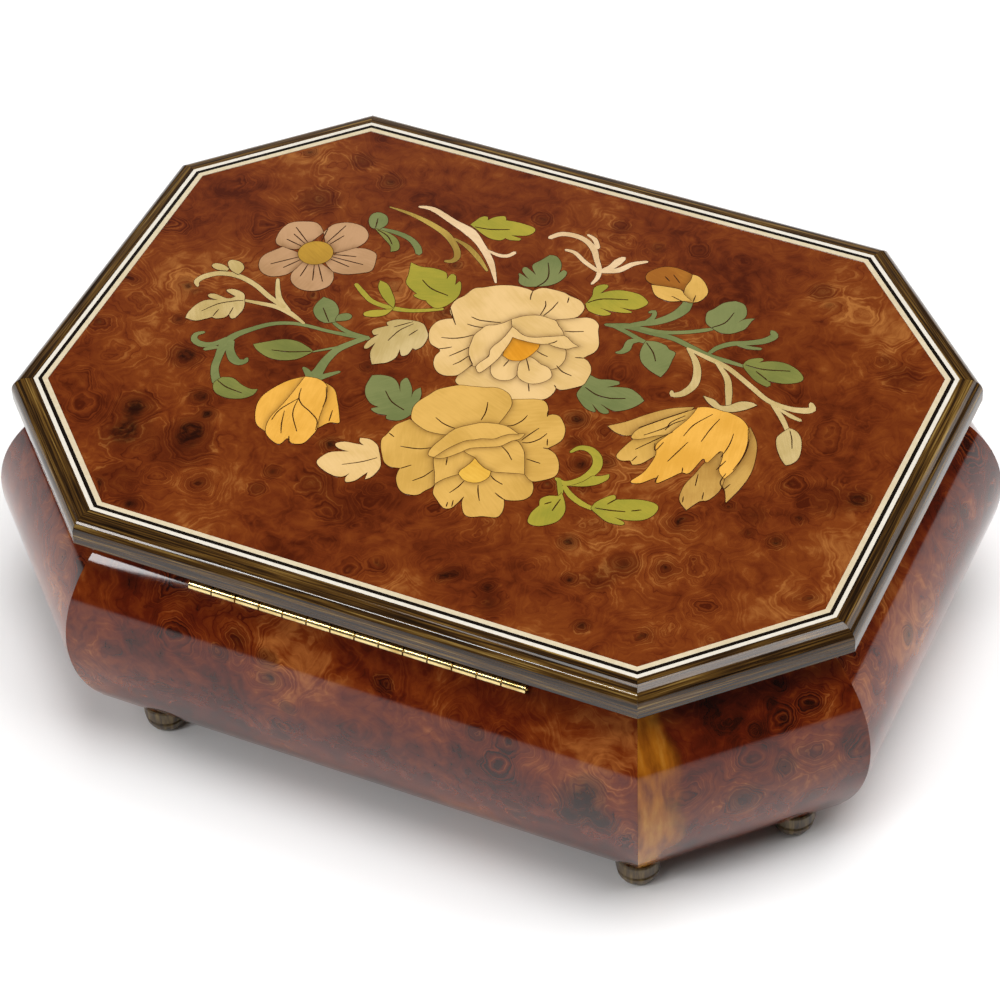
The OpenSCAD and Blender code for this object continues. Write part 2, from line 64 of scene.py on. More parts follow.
TOP = corner("lid_veneer").z
HALF_LEN = corner("lid_board").x
HALF_DEP = corner("lid_board").y
MOULD_OUT = corner("moulding_right").x - HALF_LEN
LID_LOW = corner("lid_board", False).z
RIM = corner("wall_front").z
WALL_LOW = corner("wall_front", False).z
BULGE = corner("wall_right").x - HALF_LEN
SLOPE = 2 - math.sqrt(2)
CORNER_CUT = HALF_DEP + MOULD_OUT - corner("moulding_right").y - MOULD_OUT * SLOPE
STRING_IN = HALF_LEN - corner("lid_veneer").x

# The same as in part.scad, which the frame doesn't hold.
BULGE_Z = 37.5      # height of the walls' fattest line
BULGE_UP_R = 38     # radius of the walls above it
BULGE_LOW_R = 48    # radius of the walls below it
WALL_IN = 9.5       # inner face of the walls, inside the octagon
MOULD_R = 5         # rounding of the lid's rails
VELVET_T = 1.2      # thickness of the velvet with its backing
COMB_TEETH = 36

# Details of the visible pieces.
MITRE_GAP = 0.02          # half the joint between two walls
RAIL_MITRE_GAP = 0.04     # half the joint between two rails
RAIL_BACK = 0.02          # the rails stop this far short of the lid's board
RAIL_EASE = 0.3           # a sharp corner of a rail is taken off by this much
FOOT_ROUND = 1.6          # rounding of the walls' lower edge
WALL_STEPS = 60           # cuts along a wall, so that its eyes show
WOOD_CREASE = 30          # wood shades round below this angle between faces
CLOTH_CREASE = 50         # and cloth below this one
ROLL_SWELL = 0.45         # the ring rolls start smaller by this much and swell by it
ROLL_VOXEL = 1.6
ROLL_SIDES = 32
ROLL_FLAT = -0.9          # a roll is cut flat below this share of its radius

# Marquetry: each piece lies a small step over the one before, so that no two tops share a plane.
GROUND = TOP - 0.2        # the ground veneer, so that the inlaid pieces end level with the rails
INLAY_STEP = 0.0015
INLAY_DEEP = 0.3
SEAM = 0.16               # width of the dark seam round a piece
STEM_SEAM_LAYER = 2
STEM_LAYER = 14
LEAF_LAYER = 46
LINE_LAYER = 110
RAY_START = 5.4           # where the small flower's rays begin, from its middle
KNOT_SPREAD = 1.15        # an eye fades over its size times this

# Studio. The world is dim apart from a glow low down behind the object.
WORLD_DIM = 0.06
WORLD_GLOW = 0.5
GLOW_START = 0.915        # the glow begins where a direction agrees this much with its middle
GLOW_FLAT = 0.94          # the middle of the glow: its share along the ground
GLOW_RISE = 0.34          # and upwards
FLOOR_HALF = 4            # metres


# ---- camera ----

# Angles in degrees, the rest in mm. The camera aims at the middle of the lid, moved right and up.
CAMERA = {"azimuth": 205.77, "elevation": 45.15, "roll": -2.39, "distance": 1025.6, "right": 0.26,
          "up": -34.0, "lens": 132.07, "sensor": 36}


def add_camera():
    """A camera that looks at the lid from the hinge side."""
    az, el, roll = (math.radians(CAMERA[k]) for k in ("azimuth", "elevation", "roll"))
    back = Vector((math.sin(az) * math.cos(el), -math.cos(az) * math.cos(el), math.sin(el)))
    right = Vector((math.cos(az), math.sin(az), 0))
    up = back.cross(right)
    place = Vector((0, 0, TOP)) + back * CAMERA["distance"] + right * CAMERA["right"] + up * CAMERA["up"]
    axis_x = right * math.cos(roll) + up * math.sin(roll)
    axis_y = up * math.cos(roll) - right * math.sin(roll)
    data = bpy.data.cameras.new("camera")
    data.lens = CAMERA["lens"]
    data.sensor_width = CAMERA["sensor"]
    data.clip_end = 20
    camera = bpy.data.objects.new("camera", data)
    turn = Matrix((axis_x, axis_y, back)).transposed().to_4x4()
    camera.matrix_world = Matrix.Translation(place * MM) @ turn
    bpy.context.scene.collection.objects.link(camera)
    bpy.context.scene.camera = camera


# ---- shader graphs ----

def colour(text):
    """A hex colour as linear RGBA."""
    parts = [int(text[i:i + 2], 16) / 255 for i in (0, 2, 4)]
    return [c / 12.92 if c < 0.04045 else ((c + 0.055) / 1.055) ** 2.4 for c in parts] + [1]


class Graph:
    """A material whose shader nodes are added one by one."""

    def __init__(self, name):
        """Starts from a new material's own shader."""
        self.material = bpy.data.materials.new(name)
        self.material.use_nodes = True
        self.tree = self.material.node_tree
        self.shader = self.tree.nodes["Principled BSDF"]

    def node(self, kind, inputs, output=0, **settings):
        """Adds a node and gives one of its outputs."""
        node = self.tree.nodes.new("ShaderNode" + kind)
        for key, value in settings.items():
            setattr(node, key, value)
        for key, value in inputs.items():
            self.set(node.inputs[key], value)
        return node.outputs[output]

    def set(self, socket, value):
        """Links another node's output to a socket, or sets it to a value."""
        if isinstance(value, bpy.types.NodeSocket):
            self.tree.links.new(value, socket)
        else:
            socket.default_value = value

    def surface(self, **inputs):
        """Sets the shader's own inputs and gives the material."""
        for key, value in inputs.items():
            self.set(self.shader.inputs[key.replace("_", " ")], value)
        return self.material

    def place(self):
        """The point in the piece's own space, which is the frame's."""
        return self.node("TexCoord", {}, "Object")

    def attribute(self, name, output="Vector"):
        """What a piece's points carry under this name."""
        return self.node("Attribute", {}, output, attribute_name=name)

    def noise(self, vector, scale, detail=4, output="Fac", **inputs):
        """Cloudy noise."""
        return self.node("TexNoise", {"Vector": vector, "Scale": scale, "Detail": detail, **inputs}, output)

    def cells(self, vector, scale, output="Distance", **settings):
        """Distance to the nearest of many spots."""
        return self.node("TexVoronoi", {"Vector": vector, "Scale": scale}, output, **settings)

    def math(self, operation, a, b=0.0, c=0.0):
        """A sum or comparison of numbers."""
        return self.node("Math", {0: a, 1: b, 2: c}, operation=operation)

    def band(self, value, low, high, to_low=0.0, to_high=1.0):
        """A smooth step from to_low at low to to_high at high."""
        inputs = {"Value": value, "From Min": low, "From Max": high, "To Min": to_low, "To Max": to_high}
        return self.node("MapRange", inputs, interpolation_type="SMOOTHSTEP")

    def ramp(self, value, *stops):
        """Colours at the stops, blended between them."""
        ramp = self.tree.nodes.new("ShaderNodeValToRGB")
        self.set(ramp.inputs[0], value)
        elements = ramp.color_ramp.elements
        while len(elements) < len(stops):
            elements.new(0.5)
        for element, (position, text) in zip(elements, stops):
            element.position = position
            element.color = colour(text)
        return ramp.outputs[0]

    def mix(self, factor, a, b, blend="MIX"):
        """From colour a to colour b by factor."""
        node = self.tree.nodes.new("ShaderNodeMix")
        node.data_type = "RGBA"
        node.blend_type = blend
        self.set(node.inputs[0], factor)
        self.set(node.inputs[6], a if isinstance(a, bpy.types.NodeSocket) else colour(a))
        self.set(node.inputs[7], b if isinstance(b, bpy.types.NodeSocket) else colour(b))
        return node.outputs[2]

    def moved(self, vector, by, amount):
        """vector pushed about by a noise's colour, which is centred on grey."""
        centred = self.node("VectorMath", {0: by, 1: (0.5, 0.5, 0.5)}, operation="SUBTRACT")
        scaled = self.node("VectorMath", {0: centred, "Scale": amount}, operation="SCALE")
        return self.node("VectorMath", {0: vector, 1: scaled}, operation="ADD")

    def stretched(self, vector, scale):
        """vector scaled along each axis, so that noise runs in streaks."""
        return self.node("VectorMath", {0: vector, 1: scale}, operation="MULTIPLY")

    def bump(self, height, strength, distance):
        """A normal that follows a height, its distance in mm."""
        return self.node("Bump", {"Height": height, "Strength": strength, "Distance": distance * MM})


LACQUER = {"Coat_Weight": 1.0, "Coat_Roughness": 0.06, "Coat_IOR": 1.48, "Roughness": 0.5,
           "Specular_IOR_Level": 0.0}


# ---- materials ----

def burl(name, dark, middle, warm, light, sapwood=False):
    """Burl veneer under gloss lacquer: clouds, fine rings round the eyes, and dark eyes."""
    g = Graph(name)
    p = g.attribute("grain")
    knot = g.attribute("knot", "Fac")
    warped = g.moved(p, g.noise(p, 30, 3, "Color"), 0.016)
    curls = g.moved(warped, g.noise(p, 140, 3, "Color"), 0.005)
    near_eye = g.cells(curls, 62)
    eyed = g.band(g.noise(p, 21, 3), 0.42, 0.56)
    clouds = g.noise(warped, 24, 5)
    mottle = g.noise(curls, 210, 5)
    height = g.math("MULTIPLY_ADD", near_eye, 0.5, g.math("MULTIPLY_ADD", knot, 0.3, clouds))
    rings = g.node("TexNoise", {"W": height, "Scale": 30, "Detail": 5, "Roughness": 0.62}, "Fac",
                   noise_dimensions="1D")
    ringed = g.math("MULTIPLY_ADD", g.math("MULTIPLY", g.band(near_eye, 0.7, 0.25), eyed), 0.4, 0.14)
    ringed = g.math("MAXIMUM", ringed, g.band(knot, 0.01, 0.2, 0.0, 0.45))
    tone = g.math("MULTIPLY_ADD", clouds, 0.56, g.math("MULTIPLY_ADD", mottle, 0.28, 0.08))
    tone = g.math("MULTIPLY_ADD", g.math("SUBTRACT", rings, 0.5), ringed, tone)
    base = g.ramp(tone, (0.38, dark), (0.46, middle), (0.54, warm), (0.66, light))
    halo = g.math("MULTIPLY", g.band(near_eye, 0.34, 0.06), eyed)
    halo = g.math("MAXIMUM", halo, g.band(knot, 0.06, 0.4))
    base = g.mix(g.math("MULTIPLY", halo, 0.5), base, dark)
    core = g.math("MULTIPLY", g.band(near_eye, 0.13, 0.04), eyed)
    core = g.math("MAXIMUM", core, g.band(knot, 0.5, 1.0))
    speck = g.band(g.noise(curls, 420, 3), 0.36, 0.6)
    core = g.math("MULTIPLY", core, g.math("MULTIPLY_ADD", speck, 0.45, 0.5))
    base = g.mix(core, base, "1c0501")
    if sapwood:
        across = g.node("SeparateXYZ", {"Vector": p}, "X")
        streak = g.band(g.math("MULTIPLY_ADD", g.noise(p, 70, 4), 0.012, across), -0.013, -0.021)
        fibres = g.noise(g.stretched(p, (1, 0.25, 0.25)), 260, 4)
        golden = g.ramp(fibres, (0.35, "7a3c06"), (0.52, "b06a14"), (0.68, "cc8c30"))
        base = g.mix(g.math("MULTIPLY", streak, 0.75), base, golden)
    return g.surface(Base_Color=base, **LACQUER)


def dark_rail(name, own_grain=True):
    """Dark olive-brown wood with fine straight lines along the rail, or along X where it has no own grain."""
    g = Graph(name)
    p = g.attribute("grain") if own_grain else g.place()
    along = g.stretched(p, (0.02, 1, 1))
    fine = g.noise(along, 2400, 4)
    broad = g.noise(along, 700, 2)
    tone = g.math("MULTIPLY_ADD", fine, 0.6, g.math("MULTIPLY", broad, 0.4))
    base = g.ramp(tone, (0.36, "120903"), (0.47, "33200b"), (0.56, "5a3f18"), (0.68, "94783f"))
    return g.surface(Base_Color=base, **LACQUER)


def line_wood(name, light, dark):
    """Stringing: plain veneer cut in narrow strips."""
    g = Graph(name)
    p = g.place()
    base = g.mix(g.noise(p, 700, 4), light, dark)
    base = g.mix(g.band(g.noise(p, 45, 3), 0.5, 0.7), base, g.mix(0.4, base, dark))
    return g.surface(Base_Color=base, **LACQUER)


def dyed_veneer(name, light, dark):
    """Plain veneer for the marquetry, scorched brown where it goes under another piece."""
    g = Graph(name)
    p = g.attribute("grain")
    shade = g.attribute("shade", "Fac")
    fibres = g.noise(g.stretched(p, (0.12, 1, 1)), 1500, 4)
    cloud = g.noise(p, 70, 3)
    tone = g.math("MULTIPLY_ADD", fibres, 0.25, g.math("MULTIPLY", cloud, 0.75))
    base = g.mix(g.band(tone, 0.36, 0.66), light, dark)
    base = g.mix(g.band(shade, 0.02, 1.0, 0.0, 0.9), base, "5a3410")
    return g.surface(Base_Color=base, **LACQUER)


def scorched_line(name):
    """The dark brown of a saw cut with glue in it."""
    g = Graph(name)
    base = g.mix(g.noise(g.place(), 900, 2), "2c1406", "44230c")
    return g.surface(Base_Color=base, **LACQUER)


def turned_wood(name):
    """Stained wood with upright grain and a thin finish."""
    g = Graph(name)
    p = g.place()
    grain = g.noise(g.stretched(p, (1, 1, 0.12)), 900, 4)
    base = g.ramp(grain, (0.35, "2c1c0c"), (0.52, "56421f"), (0.7, "7a6436"))
    return g.surface(Base_Color=base, Roughness=0.5, Coat_Weight=0.5, Coat_Roughness=0.25)


def plain_wood(name):
    """Sanded light hardwood with its grain along X."""
    g = Graph(name)
    p = g.place()
    grain = g.noise(g.stretched(p, (0.12, 1, 1)), 420, 5)
    base = g.ramp(grain, (0.32, "8a5a2c"), (0.5, "ae7c44"), (0.68, "c89a60"))
    return g.surface(Base_Color=base, Roughness=0.6, Normal=g.bump(grain, 0.25, 0.2))


def velvet(name):
    """Short pile: dark where it is looked into, bright where it lies away from the eye."""
    g = Graph(name)
    p = g.place()
    pile = g.noise(p, 2600, 3)
    brushed = g.noise(g.moved(p, g.noise(p, 30, 3, "Color"), 0.02), 46, 4)
    base = g.mix(g.band(brushed, 0.3, 0.7), "5a0813", "6c0c19")
    base = g.mix(g.math("MULTIPLY", pile, 0.45), base, "33040b")
    height = g.math("MULTIPLY_ADD", brushed, 0.6, pile)
    return g.surface(Base_Color=base, Roughness=0.9, Sheen_Weight=0.8, Sheen_Roughness=0.35,
                     Sheen_Tint=colour("ff9aa2"), Normal=g.bump(height, 0.6, 0.25))


def metal(name, tint, dull, roughness, brush):
    """Polished or brushed metal. brush stretches the fine scratches along an axis."""
    g = Graph(name)
    p = g.place()
    scratches = g.noise(g.stretched(p, brush), 2400, 3)
    tarnish = g.noise(p, 120, 4)
    base = g.mix(g.band(tarnish, 0.42, 0.75), tint, dull)
    rough = g.math("MULTIPLY_ADD", scratches, 0.14, roughness)
    return g.surface(Base_Color=base, Metallic=1.0, Roughness=rough, Normal=g.bump(scratches, 0.12, 0.05))


def clear_sheet(name):
    """A thin clear pane that is seen mostly by what it mirrors."""
    g = Graph(name)
    haze = g.band(g.noise(g.place(), 60, 4), 0.4, 0.8, 0.015, 0.05)
    return g.surface(Base_Color=colour("f4fbff"), Roughness=haze, IOR=1.49, Alpha=0.05)


def floor_paint(name):
    """Matt white."""
    g = Graph(name)
    return g.surface(Base_Color=g.mix(g.noise(g.place(), 6, 2), "fcfcfc", "ffffff"), Roughness=0.85)


# ---- meshes ----

class Piece:
    """Gathers closed parts in one mesh, with the attributes that the materials read."""

    def __init__(self, name, body):
        """Starts empty."""
        self.name = name
        self.body = body
        self.points = []
        self.faces = []
        self.slots = []
        self.materials = []
        self.grain = []
        self.shade = []
        self.knot = []

    def add(self, points, faces, material, grain=None, shade=None, knot=None):
        """Adds one part: its points in mm, its faces and what each point's attributes are."""
        start = len(self.points)
        if material not in self.materials:
            self.materials.append(material)
        self.points += [Vector(p) * MM for p in points]
        self.faces += [[start + i for i in f] for f in faces]
        self.slots += [self.materials.index(material)] * len(faces)
        self.grain += [Vector(p) * MM for p in (grain or points)]
        self.shade += shade or [0.0] * len(points)
        self.knot += knot or [0.0] * len(points)

    def build(self, slot, smooth=0):
        """Makes the object, rounds its shading below the angle smooth, and lets it ride on its body."""
        mesh = bpy.data.meshes.new(self.name)
        mesh.from_pydata(self.points, [], self.faces)
        for material in self.materials:
            mesh.materials.append(material)
        mesh.polygons.foreach_set("material_index", self.slots)
        grain = mesh.attributes.new("grain", "FLOAT_VECTOR", "POINT")
        grain.data.foreach_set("vector", [c for p in self.grain for c in p])
        mesh.attributes.new("shade", "FLOAT", "POINT").data.foreach_set("value", self.shade)
        mesh.attributes.new("knot", "FLOAT", "POINT").data.foreach_set("value", self.knot)
        mesh.validate()
        if smooth:
            mesh.shade_smooth()
            mesh.set_sharp_from_angle(angle=math.radians(smooth))
        piece = bpy.data.objects.new(self.name, mesh)
        bpy.context.scene.collection.objects.link(piece)
        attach(piece, self.body)
        return piece


def octagon(off):
    """The octagon's corners at an offset, from the front side's left end, anticlockwise."""
    a = HALF_LEN + off
    b = HALF_DEP + off
    c = CORNER_CUT + off * SLOPE
    front, back = [(c - a, -b), (a - c, -b)], [(a - c, b), (c - a, b)]
    return front + [(a, c - b), (a, b - c)] + back + [(-a, b - c), (-a, c - b)]


SIDES = ["front", "front_right", "right", "back_right", "back", "back_left", "left", "front_left"]


def rail(piece, i, section, material, gap=0.0, grain_shift=(0, 0, 0), along_grain=False, steps=1, knots=()):
    """A closed section of (offset, height) points along side i in a number of steps, mitred at both ends."""
    j = (i + 1) % 8
    middle = (Vector(octagon(0)[i]) + Vector(octagon(0)[j])) / 2
    direction = (Vector(octagon(0)[j]) - Vector(octagon(0)[i])).normalized()
    count = len(section)
    points, grain, knot = [], [], []
    for step in range(steps + 1):
        for off, z in section:
            corners = octagon(off)
            first, last = Vector(corners[i]), Vector(corners[j])
            inward = (last - first).normalized() * gap
            flat = (first + inward).lerp(last - inward, step / steps)
            along = (flat - middle).dot(direction)
            points.append((*flat, z))
            grain.append(Vector((along, off, z) if along_grain else points[-1]) + Vector(grain_shift))
            knot.append(knots_near((along, z), knots) if off > 0 else 0.0)
    faces = []
    for step in range(steps):
        for k in range(count):
            here, ahead = step * count, (step + 1) * count
            faces.append([ahead + k, ahead + (k + 1) % count, here + (k + 1) % count, here + k])
    faces += [list(range(count)), list(range(len(points) - 1, len(points) - count - 1, -1))]
    piece.add(points, faces, material, grain, knot=knot)


def arc(centre, radius, start, end, steps):
    """Points on a circle between two angles in degrees."""
    angles = [math.radians(start + (end - start) * k / steps) for k in range(steps + 1)]
    return [(centre[0] + radius * math.cos(a), centre[1] + radius * math.sin(a)) for a in angles]


# ---- flat inlay ----

def curve(points, closed, step=0.7):
    """A smooth line through given points. A point marked SHARP is a corner."""
    flat = [Vector(p[:2]) for p in points]
    sharp = [len(p) > 2 and p[2] == SHARP for p in points]
    count = len(flat)
    out = []
    for k in range(count if closed else count - 1):
        a, b = flat[k], flat[(k + 1) % count]
        before = a if sharp[k] or (not closed and k == 0) else flat[k - 1]
        after = b if sharp[(k + 1) % count] or (not closed and k == count - 2) else flat[(k + 2) % count]
        pull_a = (b - before) / 2
        pull_b = (after - a) / 2
        pieces = max(1, round((b - a).length / step))
        for n in range(pieces):
            t = n / pieces
            blend = (2 * t**3 - 3 * t**2 + 1, t**3 - 2 * t**2 + t, -2 * t**3 + 3 * t**2, t**3 - t**2)
            out.append(a * blend[0] + pull_a * blend[1] + b * blend[2] + pull_b * blend[3])
    if not closed:
        out.append(flat[-1])
    return out


def ribbon(points, step=0.7):
    """The outline of a stem. Each point holds its place and its width there."""
    line = curve([p[:2] for p in points], False, step)
    marks = [0.0]
    for a, b in zip(points, points[1:]):
        marks.append(marks[-1] + max(1, round((Vector(b[:2]) - Vector(a[:2])).length / step)))
    left, right = [], []
    for k, here in enumerate(line):
        seg = max(i for i, m in enumerate(marks[:-1]) if k >= m)
        t = (k - marks[seg]) / (marks[seg + 1] - marks[seg])
        width = points[seg][2] * (1 - t) + points[seg + 1][2] * t
        ahead = line[min(k + 1, len(line) - 1)] - line[max(k - 1, 0)]
        side = Vector((-ahead.y, ahead.x)).normalized() * width / 2
        left.append(here + side)
        right.append(here - side)
    start = line[0] - (line[1] - line[0]).normalized() * points[0][2] * 0.45
    end = line[-1] + (line[-1] - line[-2]).normalized() * points[-1][2] * 0.45
    return [start] + right + [end] + left[::-1]


def inside(points, outline):
    """Which of the points lie in the closed outline."""
    x, y = points[:, :1], points[:, 1:]
    a = np.array(outline)
    b = np.roll(a, -1, axis=0)
    crosses = (a[:, 1] > y) != (b[:, 1] > y)
    rise = np.where(a[:, 1] == b[:, 1], 1, b[:, 1] - a[:, 1])
    left = x < (b[:, 0] - a[:, 0]) * (y - a[:, 1]) / rise + a[:, 0]
    return (crosses & left).sum(axis=1) % 2 == 1


def edge_distance(points, outline):
    """How far each point is from the nearest edge of the outline."""
    a = np.array(outline)
    along = np.roll(a, -1, axis=0) - a
    from_a = points[:, None, :] - a
    t = (from_a * along).sum(axis=2) / np.maximum((along**2).sum(axis=1), 1e-12)
    gap = from_a - np.clip(t, 0, 1)[:, :, None] * along
    return np.sqrt((gap**2).sum(axis=2).min(axis=1))


def grown(outline, by):
    """The outline moved outwards."""
    area = sum(a.x * b.y - b.x * a.y for a, b in zip(outline, outline[1:] + outline[:1]))
    turn = 1 if area > 0 else -1
    out = []
    for k, here in enumerate(outline):
        ahead = outline[(k + 1) % len(outline)] - outline[k - 1]
        out.append(here + Vector((ahead.y, -ahead.x)).normalized() * by * turn)
    return out


def spots_over(outline, spacing, stagger=0.0):
    """A grid of points over the outline's box, with every other row moved by stagger of the spacing."""
    lo = [min(p[k] for p in outline) for k in (0, 1)]
    hi = [max(p[k] for p in outline) for k in (0, 1)]
    spots = []
    for row in range(int((hi[1] - lo[1]) / spacing)):
        for column in range(int((hi[0] - lo[0]) / spacing)):
            across = column + 0.5 + stagger * (row % 2)
            spots.append((lo[0] + across * spacing, lo[1] + (row + 0.5) * spacing))
    return spots


def filled(outline, spots):
    """Points and triangles that fill the outline and use the spots inside it."""
    flat, _, tris = delaunay_2d_cdt(outline + spots, [], [list(range(len(outline)))], 1, 1e-5)[:3]
    return flat, tris


def slab_faces(tris, count):
    """Faces of a closed slab with count points above, which the triangles join, and the same ones below."""
    used = {(a, b) for f in tris for a, b in zip(f, f[1:] + f[:1])}
    faces = [list(f) for f in tris] + [[count + i for i in reversed(f)] for f in tris]
    return faces + [[b, a, count + a, count + b] for a, b in used if (b, a) not in used]


def scorch(places, outline, covers):
    """How dark each place is: a little at the piece's own edge, more beside a piece that lies over it."""
    own_dark, own_reach = 0.14, 0.5
    under_dark, under_reach = 0.66, 1.5
    dark = own_dark * np.exp(-edge_distance(places, outline) / own_reach)
    for cover in covers:
        dark = np.maximum(dark, under_dark * np.exp(-edge_distance(places, cover) / under_reach))
    return list(dark)


def plate(piece, outline, low, high, material, spacing=0, angle=0, covers=None, knots=None):
    """A closed flat part from a (u, v) outline, meshed inside about every spacing mm.

    covers are the outlines of the pieces that lie over this one, which is scorched along their edges.
    """
    outline = [Vector(p[:2]) for p in outline]
    spots = spots_over(outline, spacing, 0.5) if spacing else []
    if spots:
        grid = np.array(spots)
        grid = grid[inside(grid, outline)]
        spots = [Vector(p) for p in grid[edge_distance(grid, outline) > 0.45 * spacing]]
    flat, tris = filled(outline, spots)
    points = [(-p[0], -p[1], high) for p in flat] + [(-p[0], -p[1], low) for p in flat]
    turn = Matrix.Rotation(math.radians(angle), 2)
    grain = [(*(turn @ p), 3.0 * len(piece.points) % 97) for p in flat] * 2
    shade = None if covers is None else scorch(np.array(flat), outline, covers) * 2
    knot = [knots_near(p, knots) for p in flat] * 2 if knots else None
    piece.add(points, slab_faces(tris, len(flat)), material, grain, shade, knot)


# ---- the picture in the lid ----

GREENS = {
    "sage": ("757a4a", "666e40"),
    "lime": ("a29334", "8c862e"),
    "moss": ("7a7b3e", "696d36"),
}
